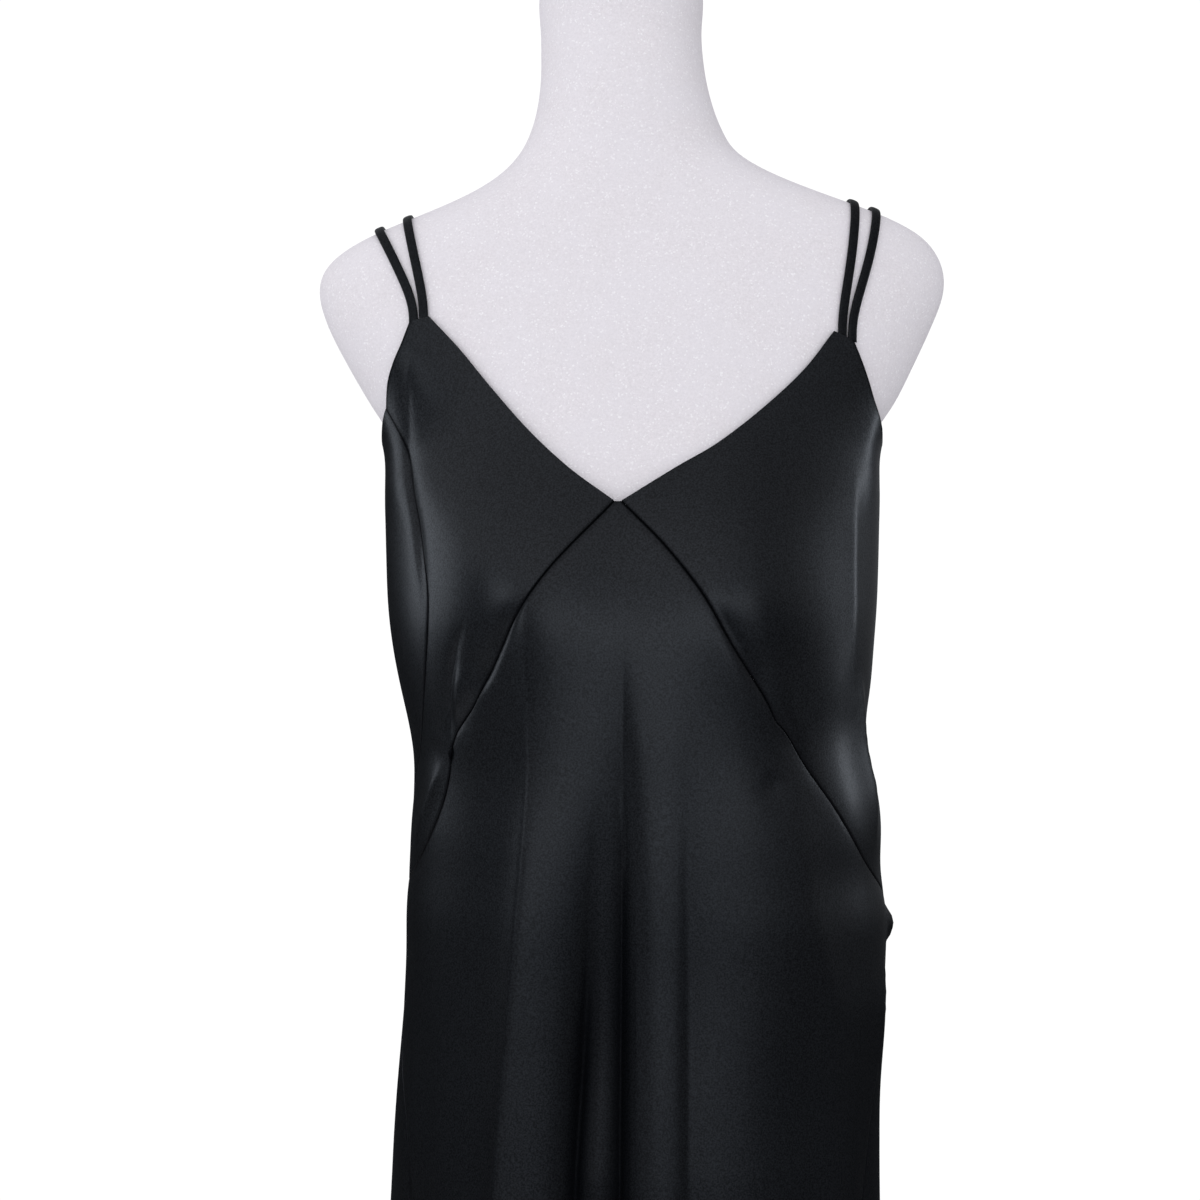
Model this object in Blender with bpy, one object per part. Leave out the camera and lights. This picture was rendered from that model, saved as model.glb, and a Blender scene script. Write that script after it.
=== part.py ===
"""A bias-cut slip dress on a limbless dress form and its stand, as closed solids.

Metres, +Z up, front towards -Y. The origin is on the floor under the centre of the
stand's base. The tables and the sizes below are in millimetres and are turned into
metres once, where each mesh is made. "Right" and "left" in a piece's name are the
wearer's, so the right bodice is on the -X side.

The dress is a wall of cloth over one smooth hanging surface. A place on that surface is
a girth and a height: girth 0 is the centre front, -1 and 1 are the centre back, and
-0.5 and 0.5 are about the sides. Each cut panel is a four-sided patch between its own
seams and edges on that surface.
"""

import math
from collections import namedtuple

import bmesh
import bpy
import numpy as np

MM = 0.001

# Cloth
CLOTH_WALL = 1.3  # folded satin with its turnings, as one stiff wall
SEAM_GAP = 0.3  # between two panels along a seam
CLOTH_STANDOFF = 3.4  # outer face of the cloth above the form where it lies on it
HEM_HEIGHT = 330
UNDERARM_HEIGHT = 1250

# Dress form
TORSO_BOTTOM = 784
SECTION_POWER = 2.25  # 2 is an ellipse, more is squarer
BUST_OUT = 22
BUST_X = 78
BUST_HEIGHT = 1165
BUST_HALF_WIDTH = 42
BUST_HALF_HEIGHT = 46
BUST_BRIDGE = 9  # how far the cloth stands off between the two cups
BRIDGE_HALF_WIDTH = 45
SIDE_FADE = 0.2  # the bust fades out over this much of a section's cosine at the sides

# Straps
STRAP_WIDTH = 6.0
STRAP_THICKNESS = 2.0
STRAP_LIFT = 0.9  # underside above the form
STRAP_PITCH = 6.4  # between two straps where they meet a panel
STRAP_STATIONS = 27
STRAP_SIDES = 8
SHOULDER_PIVOT_Y = 6
SHOULDER_PIVOT_HEIGHT = 1290
RIDGE_TURN = math.radians(88)  # where a strap passes over the top of the shoulder
RISE_SHARE = 0.85  # of the way up, by which a strap has moved out to its place there

# Stand
BASE_RADIUS = 165
BASE_THICKNESS = 9
BASE_EDGE = 3
POLE_RADIUS = 12.5
COLLAR_RADIUS = 21
COLLAR_HEIGHT = 42
FLANGE_RADIUS = 55
FLANGE_THICKNESS = 6
TOUCH_GAP = 0.3

# Mesh of the cloth
ARMHOLE_ROWS = 4
SIDE_ROWS = 10
SKIRT_ROWS = 20
BODICE_COLUMNS = 17
BACK_COLUMNS = 34
RING_ANGLES = 181
SEAM_KNOTS = 14
HALF_GIRTH = 480.0  # about half way round the cloth, to weigh girth against height
GIRTH_STEP = 0.002  # either side of a place, to find which way the cloth faces
HEIGHT_STEP = 1.0
FORM_COLUMNS = 34

Section = namedtuple("Section", "height left right front back")
Fold = namedtuple("Fold", "start girth_start girth_hip girth_hem width depth_hip depth_hem")
Front = namedtuple("Front", "x height")
Side = namedtuple("Side", "height girth")
Strap = namedtuple("Strap", "name front_x front_height ridge_x back_x back_height side")

# The form, from under the hips to the top of the neck. The shoulders end in short caps.
FORM = [
    Section(784, 128, 128, 88, 86),
    Section(790, 136, 136, 96, 95),
    Section(850, 140, 142, 104, 103),
    Section(920, 136, 138, 100, 98),
    Section(980, 125, 128, 90, 87),
    Section(1030, 118, 121, 84, 76),
    Section(1090, 126, 128, 90, 82),
    Section(1140, 140, 141, 98, 92),
    Section(1170, 147, 148, 101, 96),
    Section(1210, 152, 152, 97, 99),
    Section(1248, 154, 153, 88, 97),
    Section(1274, 170, 170, 83, 96),
    Section(1300, 185, 183, 78, 92),
    Section(1326, 198, 195, 72, 88),
    Section(1345, 203, 202, 67, 84),
    Section(1360, 200, 202, 63, 80),
    Section(1372, 188, 197, 60, 77),
    Section(1384, 166, 186, 57, 74),
    Section(1396, 136, 162, 54, 71),
    Section(1408, 108, 128, 52, 68),
    Section(1420, 88, 96, 50, 66),
    Section(1434, 74, 70, 48, 63),
    Section(1452, 65, 58, 47, 60),
    Section(1475, 60, 50, 46, 58),
    Section(1510, 59, 45, 45, 58),
    Section(1545, 59, 45, 45, 58),
    Section(1553, 56, 42, 42, 55),
    Section(1556, 49, 35, 35, 48),
]

# The hanging cloth up to the underarm. Above it the cloth lies on the form.
HANGING = [
    Section(330, 189, 190, 158, 150),
    Section(500, 176, 177, 146, 138),
    Section(650, 165, 167, 136, 129),
    Section(767, 157, 161, 129, 125),
    Section(832, 153, 161, 125, 122),
    Section(884, 148, 164, 122.5, 117),
    Section(923, 146, 164, 121.5, 111),
    Section(949, 146, 164, 121.5, 106),
    Section(975, 144, 160, 121.5, 101),
    Section(1001, 143, 161, 121.5, 96),
    Section(1027, 141, 158, 121.5, 93),
    Section(1047, 141, 152.5, 121.5, 92),
    Section(1066, 144, 150.5, 121, 92),
    Section(1092, 150, 154, 118.5, 94),
    Section(1118, 155, 156, 114, 97),
    Section(1144, 158, 158, 108.5, 99),
    Section(1170, 159, 159, 104, 100),
    Section(1209, 160, 160, 100, 102),
    Section(1248, 161, 161, 92, 101),
]
CLOTH = HANGING + [
    Section(row.height, *(size + CLOTH_STANDOFF for size in row[1:]))
    for row in FORM
    if row.height > UNDERARM_HEIGHT
]

# Folds run down from where the cloth starts to hang free. A fold's width is from its
# middle to where it has lost two fifths of its depth.
HIP_HEIGHT = 800  # where the folds have their hip depth
HEM_SPREAD = 0.35  # how much wider a fold is at the hem
FOLDS = [
    Fold(1105, -0.150, -0.182, -0.205, 13, 8, 14),
    Fold(1040, -0.055, -0.088, -0.110, 15, 11, 19),
    Fold(1100, -0.005, -0.018, -0.018, 11, 10, 16),
    Fold(1085, 0.064, 0.062, 0.085, 12, 7, 15),
    Fold(960, 0.235, 0.250, 0.205, 20, 3, 13),
    Fold(900, 0.380, 0.385, 0.340, 24, 3, 15),
    Fold(930, -0.330, -0.335, -0.330, 24, 3, 15),
    Fold(900, -0.550, -0.545, -0.470, 18, 3, 13),
    Fold(900, 0.560, 0.550, 0.490, 18, 3, 13),
    Fold(1010, -0.700, -0.690, -0.640, 18, 6, 15),
    Fold(1040, -0.840, -0.830, -0.790, 16, 8, 16),
    Fold(1000, -0.960, -0.955, -0.930, 15, 7, 16),
    Fold(1050, 0.900, 0.895, 0.880, 14, 8, 15),
    Fold(990, 0.760, 0.755, 0.740, 17, 7, 17),
    Fold(970, 0.640, 0.630, 0.610, 18, 4, 13),
]

# Seams and edges that lie on the front, as places seen from the front.
V_TIP_RIGHT = Front(-13.5, 1207)
V_TIP_LEFT = Front(-6.0, 1207)
RIGHT_NECKLINE = [
    Front(-127, 1323),
    Front(-111, 1306),
    Front(-90, 1280),
    Front(-67.5, 1254.5),
    Front(-41.5, 1229.5),
    V_TIP_RIGHT,
]
LEFT_NECKLINE = [
    Front(126, 1314),
    Front(109, 1292),
    Front(82, 1267),
    Front(49, 1241.5),
    Front(27, 1229),
    V_TIP_LEFT,
]
APEX_WIDTH = 13
RIGHT_ARMHOLE = [Front(-145, 1308), Front(-151, 1295), Front(-156, 1280), Front(-159, 1264)]
LEFT_ARMHOLE = [Front(141, 1300), Front(147, 1286), Front(152, 1272), Front(156, 1260)]
RIGHT_V_SEAM = [
    V_TIP_RIGHT,
    Front(-57, 1159),
    Front(-72, 1136),
    Front(-85, 1108),
    Front(-97, 1084),
    Front(-109, 1063),
    Front(-112, 1040),
    Front(-125, 1016),
    Front(-137, 989),
]
LEFT_V_SEAM = [
    V_TIP_LEFT,
    Front(18, 1180),
    Front(39, 1153),
    Front(57, 1123),
    Front(81, 1082),
    Front(105, 1045),
    Front(121, 1022),
    Front(142, 989),
]

# Side seams, from the underarm to the hem. The dress sits turned a little on the form,
# so the right seam comes forward at the bust and the left one stays behind.
RIGHT_SIDE = [
    Side(1250, -0.500),
    Side(1212, -0.370),
    Side(1150, -0.325),
    Side(1108, -0.338),
    Side(1078, -0.370),
    Side(1050, -0.415),
    Side(1020, -0.490),
    Side(962, -0.530),
    Side(880, -0.470),
    Side(828, -0.390),
    Side(768, -0.355),
    Side(330, -0.375),
]
LEFT_SIDE = [
    Side(1250, 0.500),
    Side(1150, 0.560),
    Side(1050, 0.560),
    Side(945, 0.530),
    Side(905, 0.480),
    Side(860, 0.425),
    Side(768, 0.365),
    Side(330, 0.380),
]
RIGHT_JOIN_HEIGHT = 962  # where the angled seam meets the side seam
LEFT_JOIN_HEIGHT = 945
BACK_EDGE = [
    Side(1250, -0.500),
    Side(1246, -0.620),
    Side(1236, -0.740),
    Side(1214, -0.880),
    Side(1206, -1.000),
    Side(1214, -1.120),
    Side(1236, -1.260),
    Side(1246, -1.380),
    Side(1250, -1.500),
]

STRAPS = [
    Strap("strap_right_outer", -133.5, 1323, -162.5, -97, 1234.5, -1),
    Strap("strap_right_inner", -133.5, 1323, -144, -97, 1232.2, 1),
    Strap("strap_left_inner", 133, 1314, 141.5, 97, 1232.2, -1),
    Strap("strap_left_outer", 133, 1314, 155.5, 97, 1234.5, 1),
]

SATIN = ("black_satin", (0.012, 0.013, 0.018), 0.38, 0.0)
VELVET = ("pearl_velvet", (0.72, 0.70, 0.74), 0.85, 0.0)
STEEL = ("stand_metal", (0.62, 0.62, 0.64), 0.35, 1.0)


def clear_scene():
    for old in list(bpy.data.objects):
        bpy.data.objects.remove(old, do_unlink=True)


def material(name, colour, roughness, metallic):
    found = bpy.data.materials.get(name)
    if found:
        return found
    made = bpy.data.materials.new(name)
    made.use_nodes = True
    shader = made.node_tree.nodes["Principled BSDF"]
    shader.inputs["Base Color"].default_value = (*colour, 1.0)
    shader.inputs["Roughness"].default_value = roughness
    shader.inputs["Metallic"].default_value = metallic
    return made


def add_object(name, mesh, finish):
    piece = bpy.data.objects.new(name, mesh)
    bpy.context.scene.collection.objects.link(piece)
    mesh.materials.append(material(*finish))
    mesh.shade_smooth()
    mesh.set_sharp_from_angle(angle=math.radians(40))
    return piece


# ---------------------------------------------------------------- surfaces


def column(rows, name, height):
    """The named column of a table of sections, read at any height on a smooth curve."""
    at = np.array([row.height for row in rows], float)
    value = np.array([getattr(row, name) for row in rows], float)
    slope = np.gradient(value, at)
    height = np.clip(height, at[0], at[-1])
    i = np.clip(np.searchsorted(at, height) - 1, 0, len(at) - 2)
    step = at[i + 1] - at[i]
    t = (height - at[i]) / step
    return (
        value[i] * (1 + 2 * t) * (1 - t) ** 2
        + value[i + 1] * t**2 * (3 - 2 * t)
        + step * t * (1 - t) * (slope[i] * (1 - t) - slope[i + 1] * t)
    )


def bump(distance, half_width):
    return np.exp(-0.5 * (distance / half_width) ** 2)


def bust(x, height, bridge):
    """How far the front stands out over the bust, with the cloth's bridge between."""
    cups = BUST_OUT * (bump(x - BUST_X, BUST_HALF_WIDTH) + bump(x + BUST_X, BUST_HALF_WIDTH))
    between = bridge * bump(x, BRIDGE_HALF_WIDTH)
    return (cups + between) * bump(height - BUST_HEIGHT, BUST_HALF_HEIGHT)


def rings(rows, height, angle, bridge):
    """Section points at each height and angle. Angle 0 is the centre front."""
    sine, cosine = np.sin(angle), np.cos(angle)
    reach_x = np.where(sine < 0, column(rows, "left", height), column(rows, "right", height))
    reach_y = np.where(cosine > 0, column(rows, "front", height), column(rows, "back", height))
    x = np.sign(sine) * reach_x * np.abs(sine) ** (2 / SECTION_POWER)
    y = -np.sign(cosine) * reach_y * np.abs(cosine) ** (2 / SECTION_POWER)
    in_front = np.clip(cosine / SIDE_FADE, 0, 1)
    return x, y - bust(x, height, bridge) * in_front


def cloth_rings(height):
    """The cloth's sections with the girth in millimetres at each of their points."""
    angle = np.linspace(-math.pi, math.pi, RING_ANGLES)[None, :]
    x, y = rings(CLOTH, np.asarray(height, float)[:, None], angle, BUST_BRIDGE)
    length = np.hypot(np.diff(x, axis=1), np.diff(y, axis=1))
    along = np.concatenate([np.zeros((len(x), 1)), np.cumsum(length, axis=1)], axis=1)
    along -= along[:, [RING_ANGLES // 2]]
    return x, y, along


def fold_depth(along, half_girth, height):
    """How far the cloth is pushed in at a place, by all the folds together."""
    depth = 0.0
    for fold in FOLDS:
        upper = np.clip((fold.start - height) / (fold.start - HIP_HEIGHT), 0, 1)
        lower = np.clip((HIP_HEIGHT - height) / (HIP_HEIGHT - HEM_HEIGHT), 0, 1)
        girth = (
            fold.girth_start
            + (fold.girth_hip - fold.girth_start) * upper
            + (fold.girth_hem - fold.girth_hip) * lower
        )
        reach = fold.depth_hip * upper**2 * (3 - 2 * upper)
        reach = reach + (fold.depth_hem - fold.depth_hip) * lower
        width = fold.width * (1 + HEM_SPREAD * lower)
        apart = along - girth * half_girth
        apart = np.where(apart > half_girth, apart - 2 * half_girth, apart)
        apart = np.where(apart < -half_girth, apart + 2 * half_girth, apart)
        depth = depth + reach * bump(apart, width)
    return depth


def cloth_points(places):
    """Points of the cloth's outer face, for places given as rows of girth and height."""
    girth, height = np.asarray(places, float).T
    girth = np.where(girth < -1, girth + 2, np.where(girth > 1, girth - 2, girth))
    x, y, along = cloth_rings(height)
    points = []
    for i, at in enumerate(girth):
        half_girth = along[i, -1] if at > 0 else -along[i, 0]
        here = at * half_girth
        near = here + np.array([-1.0, 0.0, 1.0])
        px = np.interp(near, along[i], x[i])
        py = np.interp(near, along[i], y[i])
        tangent = np.array([px[2] - px[0], py[2] - py[0]])
        tangent /= np.hypot(*tangent)
        depth = fold_depth(here, half_girth, height[i])
        points.append((px[1] - depth * tangent[1], py[1] + depth * tangent[0], height[i]))
    return np.array(points)


def cloth_normals(places):
    """The cloth's outward direction at each place."""
    places = np.asarray(places, float)
    aside = cloth_points(places + (GIRTH_STEP, 0)) - cloth_points(places - (GIRTH_STEP, 0))
    above = cloth_points(places + (0, HEIGHT_STEP)) - cloth_points(places - (0, HEIGHT_STEP))
    out = np.cross(aside, above)
    return out / np.linalg.norm(out, axis=1)[:, None]


def girth_of(place):
    """The girth and height of a place on the front that is given by its x."""
    x, y, along = cloth_rings([place.height])
    quarter = RING_ANGLES // 4
    front = slice(quarter, RING_ANGLES - quarter)
    at = np.interp(place.x, x[0, front], along[0, front])
    return at / (along[0, -1] if at > 0 else -along[0, 0]), place.height


# ---------------------------------------------------------------- seams and edges


def walk(places, count):
    """count + 1 places at even distances on a smooth curve through the given ones."""
    scale = np.array([HALF_GIRTH, 1.0])
    knots = np.array(places, float) * scale
    steps = np.hypot(*np.diff(knots, axis=0).T)
    at = np.concatenate([[0], np.cumsum(steps)])
    slope = np.gradient(knots, at, axis=0)
    fine = np.linspace(0, at[-1], 40 * len(knots))
    i = np.clip(np.searchsorted(at, fine) - 1, 0, len(at) - 2)
    step = (at[i + 1] - at[i])[:, None]
    t = ((fine - at[i]) / (at[i + 1] - at[i]))[:, None]
    curve = (
        knots[i] * (1 + 2 * t) * (1 - t) ** 2
        + knots[i + 1] * t**2 * (3 - 2 * t)
        + step * t * (1 - t) * (slope[i] * (1 - t) - slope[i + 1] * t)
    )
    travelled = np.concatenate([[0], np.cumsum(np.hypot(*np.diff(curve, axis=0).T))])
    even = np.linspace(0, travelled[-1], count + 1)
    return np.stack([np.interp(even, travelled, curve[:, k]) for k in (0, 1)], 1) / scale


def side_seam(rows, top, bottom, count):
    """count + 1 places down a side seam between two heights."""
    height = np.linspace(top, bottom, SEAM_KNOTS)
    girth = column(rows[::-1], "girth", height)
    return walk(np.stack([girth, height], 1), count)


def v_seam(rows, join):
    places = [girth_of(row) for row in rows] + [tuple(join)]
    return walk(places, BODICE_COLUMNS)


# ---------------------------------------------------------------- panels


def panel(name, left, right, top, bottom):
    """A cloth panel between its four edges, each a row of places on the surface."""
    u = np.linspace(0, 1, len(top))[None, :, None]
    v = np.linspace(0, 1, len(left))[:, None, None]
    across = (1 - u) * left[:, None] + u * right[:, None]
    down = (1 - v) * top[None] + v * bottom[None]
    corners = (1 - v) * ((1 - u) * top[0] + u * top[-1]) + v * (
        (1 - u) * bottom[0] + u * bottom[-1]
    )
    places = across + down - corners
    shape = (len(left), len(top), 3)
    grid = cloth_points(places.reshape(-1, 2)).reshape(shape)
    normals = cloth_normals(places.reshape(-1, 2)).reshape(shape)
    outer = trimmed(grid, normals)
    return wall_object(name, outer, outer - CLOTH_WALL * normals)


def trimmed(grid, normals):
    """The grid with its four edges drawn in by half a seam gap, along the cloth."""
    out = grid.copy()
    every = slice(None)
    for edge, inner in (
        ((0, every), (1, every)),
        ((-1, every), (-2, every)),
        ((every, 0), (every, 1)),
        ((every, -1), (every, -2)),
    ):
        inward = np.cross(normals[edge], np.gradient(grid[edge], axis=0))
        inward /= np.linalg.norm(inward, axis=1)[:, None]
        inward *= np.sign(((grid[inner] - grid[edge]) * inward).sum(axis=1))[:, None]
        out[edge] += SEAM_GAP / 2 * inward
    return out


def wall_object(name, outer, inner):
    """A closed wall between two grids of points, with a narrow face all round its edge."""
    rows, columns = outer.shape[:2]
    shape = bmesh.new()
    faces = []
    for grid in (outer, inner):
        faces.append([[shape.verts.new(point * MM) for point in row] for row in grid])
    front, back = faces
    for r in range(rows - 1):
        for c in range(columns - 1):
            corners = ((r, c), (r + 1, c), (r + 1, c + 1), (r, c + 1))
            shape.faces.new([front[i][j] for i, j in corners])
            shape.faces.new([back[i][j] for i, j in reversed(corners)])
    rim = [(0, c) for c in range(columns - 1)]
    rim += [(r, columns - 1) for r in range(rows - 1)]
    rim += [(rows - 1, c) for c in range(columns - 1, 0, -1)]
    rim += [(r, 0) for r in range(rows - 1, 0, -1)]
    for (i, j), (m, n) in zip(rim, rim[1:] + rim[:1]):
        shape.faces.new((front[i][j], front[m][n], back[m][n], back[i][j]))
    mesh = bpy.data.meshes.new(name)
    shape.to_mesh(mesh)
    shape.free()
    return add_object(name, mesh, SATIN)


def build_dress():
    right_lower = side_seam(RIGHT_SIDE, RIGHT_JOIN_HEIGHT, HEM_HEIGHT, SKIRT_ROWS)
    left_lower = side_seam(LEFT_SIDE, LEFT_JOIN_HEIGHT, HEM_HEIGHT, SKIRT_ROWS)
    right_upper = side_seam(RIGHT_SIDE, UNDERARM_HEIGHT, RIGHT_JOIN_HEIGHT, SIDE_ROWS)
    left_upper = side_seam(LEFT_SIDE, UNDERARM_HEIGHT, LEFT_JOIN_HEIGHT, SIDE_ROWS)
    right_v = v_seam(RIGHT_V_SEAM, right_lower[0])
    left_v = v_seam(LEFT_V_SEAM, left_lower[0])

    for name, neckline, armhole, upper, seam, out in (
        ("bodice_right", RIGHT_NECKLINE, RIGHT_ARMHOLE, right_upper, right_v, -1),
        ("bodice_left", LEFT_NECKLINE, LEFT_ARMHOLE, left_upper, left_v, 1),
    ):
        apex = neckline[0]
        corner = Front(apex.x + out * APEX_WIDTH, apex.height)
        armhole_edge = [girth_of(place) for place in (corner, *armhole)] + [tuple(upper[0])]
        outer = np.concatenate([walk(armhole_edge, ARMHOLE_ROWS), upper[1:]])
        inner = walk([girth_of(place) for place in neckline], ARMHOLE_ROWS + SIDE_ROWS)
        top = np.linspace(girth_of(apex), girth_of(corner), BODICE_COLUMNS + 1)
        if out < 0:
            panel(name, outer, inner, top[::-1], seam[::-1])
        else:
            panel(name, inner, outer, top, seam)

    skirt_top = np.concatenate([right_v[::-1], left_v])
    hem = np.linspace(right_lower[-1], left_lower[-1], len(skirt_top))
    panel("front_skirt", right_lower, left_lower, skirt_top, hem)

    turn = np.array([-2.0, 0.0])
    back_top = walk([(row.girth, row.height) for row in BACK_EDGE], BACK_COLUMNS)
    back_left = np.concatenate([left_upper, left_lower[1:]]) + turn
    back_right = np.concatenate([right_upper, right_lower[1:]])
    back_hem = np.linspace(back_left[-1], back_right[-1], BACK_COLUMNS + 1)
    panel("back_panel", back_left, back_right, back_top[::-1], back_hem)


# ---------------------------------------------------------------- straps


def form_depth(x, height, behind):
    """How far the form reaches forwards, or backwards, at an x and a height."""
    reach_x = column(FORM, "left" if x < 0 else "right", height)
    reach_y = column(FORM, "back" if behind else "front", height)
    inside = np.clip(1 - (abs(x) / reach_x) ** SECTION_POWER, 0, 1)
    return reach_y * inside ** (1 / SECTION_POWER)


def outside_form(point):
    """Above 0 outside the form, in millimetres near its face."""
    x, y, height = point
    reach_x = column(FORM, "left" if x < 0 else "right", height)
    reach_y = column(FORM, "back" if y > 0 else "front", height)
    spread = (abs(x) / reach_x) ** SECTION_POWER + (abs(y) / reach_y) ** SECTION_POWER
    return spread ** (1 / SECTION_POWER) - 1


def on_shoulder(x, turn):
    """The form's face straight out from the shoulder's pivot line, at a turn about it."""
    way = np.array([0.0, -math.cos(turn), math.sin(turn)])
    pivot = np.array([x, SHOULDER_PIVOT_Y, SHOULDER_PIVOT_HEIGHT])
    near, far = 0.0, 220.0
    for _ in range(40):
        middle = (near + far) / 2
        if outside_form(pivot + middle * way) < 0:
            near = middle
        else:
            far = middle
    return pivot + near * way


def turn_at(x, height, behind):
    """The turn about the shoulder's pivot line that meets the form at this height."""
    y = form_depth(x, height, behind) * (1 if behind else -1)
    return math.atan2(height - SHOULDER_PIVOT_HEIGHT, SHOULDER_PIVOT_Y - y)


def slope_of_form(point):
    step = 0.5
    moves = np.eye(3) * step
    out = np.array([outside_form(point + move) - outside_form(point - move) for move in moves])
    return out / np.linalg.norm(out)


def strap_route(strap):
    """Centre points and outward directions from the front panel over to the back."""
    front_x = strap.front_x + strap.side * STRAP_PITCH / 2
    back_x = strap.back_x + strap.side * STRAP_PITCH / 2
    start = turn_at(front_x, strap.front_height, False)
    end = turn_at(back_x, strap.back_height, True)
    if end < start:
        end += 2 * math.pi
    route = []
    for turn in np.linspace(start, end, STRAP_STATIONS):
        rise = min((turn - start) / (RIDGE_TURN - start) / RISE_SHARE, 1.0)
        fall = max((turn - RIDGE_TURN) / (end - RIDGE_TURN), 0.0)
        x = front_x + (strap.ridge_x - front_x) * rise * rise * (3 - 2 * rise)
        x += (back_x - strap.ridge_x) * fall * fall * (3 - 2 * fall)
        face = on_shoulder(x, turn)
        route.append((face, slope_of_form(face)))
    return route


def build_strap(strap):
    route = strap_route(strap)
    lift = STRAP_LIFT + STRAP_THICKNESS / 2
    centres = np.array([face + lift * out for face, out in route])
    tangents = np.gradient(centres, axis=0)
    shape = bmesh.new()
    loops = []
    last = len(route) - 1
    for i, (_, out) in enumerate(route):
        along = tangents[i] / np.linalg.norm(tangents[i])
        across = np.cross(along, out)
        across /= np.linalg.norm(across)
        up = np.cross(across, along)
        loop = []
        for k in range(STRAP_SIDES):
            turn = 2 * math.pi * (k + 0.5) / STRAP_SIDES
            point = (
                centres[i]
                + STRAP_WIDTH / 2 * math.cos(turn) / math.cos(math.pi / STRAP_SIDES) * across
                + STRAP_THICKNESS / 2 * math.sin(turn) / math.cos(math.pi / STRAP_SIDES) * up
            )
            if i in (0, last):
                level = strap.front_height if i == 0 else strap.back_height
                point = point + along * (level + SEAM_GAP - point[2]) / along[2]
            loop.append(shape.verts.new(point * MM))
        loops.append(loop)
    for lower, upper in zip(loops, loops[1:]):
        for k in range(STRAP_SIDES):
            n = (k + 1) % STRAP_SIDES
            shape.faces.new((lower[k], lower[n], upper[n], upper[k]))
    shape.faces.new(loops[0][::-1])
    shape.faces.new(loops[-1])
    bmesh.ops.recalc_face_normals(shape, faces=shape.faces)
    mesh = bpy.data.meshes.new(strap.name)
    shape.to_mesh(mesh)
    shape.free()
    return add_object(strap.name, mesh, SATIN)


# ---------------------------------------------------------------- form and stand


def build_form():
    heights = [row.height for row in FORM]
    levels = sorted(heights + [(a + b) / 2 for a, b in zip(heights, heights[1:]) if b - a > 36])
    angle = np.arange(FORM_COLUMNS) / FORM_COLUMNS * 2 * math.pi
    shape = bmesh.new()
    loops = []
    for height in levels:
        x, y = rings(FORM, np.full(FORM_COLUMNS, float(height)), angle, 0)
        loops.append([shape.verts.new(np.array([a, b, height]) * MM) for a, b in zip(x, y)])
    for lower, upper in zip(loops, loops[1:]):
        for k in range(FORM_COLUMNS):
            n = (k + 1) % FORM_COLUMNS
            shape.faces.new((lower[k], lower[n], upper[n], upper[k]))
    shape.faces.new(loops[0][::-1])
    shape.faces.new(loops[-1])
    bmesh.ops.recalc_face_normals(shape, faces=shape.faces)
    mesh = bpy.data.meshes.new("form_torso")
    shape.to_mesh(mesh)
    shape.free()
    return add_object("form_torso", mesh, VELVET)


def build_turned(name, profile, finish, segments):
    """A piece turned about the stand's axis from a profile of radius and height."""
    shape = bmesh.new()
    loops = []
    for radius, height in profile:
        loop = []
        for k in range(segments):
            turn = 2 * math.pi * k / segments
            place = (radius * math.cos(turn), radius * math.sin(turn), height)
            loop.append(shape.verts.new(np.array(place) * MM))
        loops.append(loop)
    closed = profile[0] == profile[-1]
    if closed:
        for vert in loops.pop():
            shape.verts.remove(vert)
    pairs = list(zip(loops, loops[1:])) + ([(loops[-1], loops[0])] if closed else [])
    for lower, upper in pairs:
        for k in range(segments):
            n = (k + 1) % segments
            shape.faces.new((lower[k], lower[n], upper[n], upper[k]))
    if not closed:
        shape.faces.new(loops[0][::-1])
        shape.faces.new(loops[-1])
    bmesh.ops.recalc_face_normals(shape, faces=shape.faces)
    mesh = bpy.data.meshes.new(name)
    shape.to_mesh(mesh)
    shape.free()
    return add_object(name, mesh, finish)


def build_stand():
    base = [
        (BASE_RADIUS, 0),
        (BASE_RADIUS, BASE_THICKNESS - BASE_EDGE),
        (BASE_RADIUS - BASE_EDGE, BASE_THICKNESS),
    ]
    build_turned("stand_base", base, STEEL, 48)
    seat = BASE_THICKNESS + TOUCH_GAP
    bore = POLE_RADIUS + TOUCH_GAP
    collar = [
        (bore, seat),
        (COLLAR_RADIUS + 9, seat),
        (COLLAR_RADIUS + 9, seat + 4),
        (COLLAR_RADIUS, seat + 8),
        (COLLAR_RADIUS, seat + COLLAR_HEIGHT),
        (bore, seat + COLLAR_HEIGHT),
        (bore, seat),
    ]
    build_turned("stand_collar", collar, STEEL, 24)
    top = TORSO_BOTTOM - TOUCH_GAP
    socket = [
        (bore, top - COLLAR_HEIGHT),
        (COLLAR_RADIUS, top - COLLAR_HEIGHT),
        (COLLAR_RADIUS, top - FLANGE_THICKNESS - 4),
        (FLANGE_RADIUS, top - FLANGE_THICKNESS),
        (FLANGE_RADIUS, top),
        (bore, top),
        (bore, top - COLLAR_HEIGHT),
    ]
    build_turned("form_flange", socket, STEEL, 24)
    pole = [(POLE_RADIUS, seat), (POLE_RADIUS, top)]
    build_turned("stand_pole", pole, STEEL, 24)


clear_scene()
build_dress()
for each in STRAPS:
    build_strap(each)
build_form()
build_stand()
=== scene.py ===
import math
from collections import namedtuple

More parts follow.
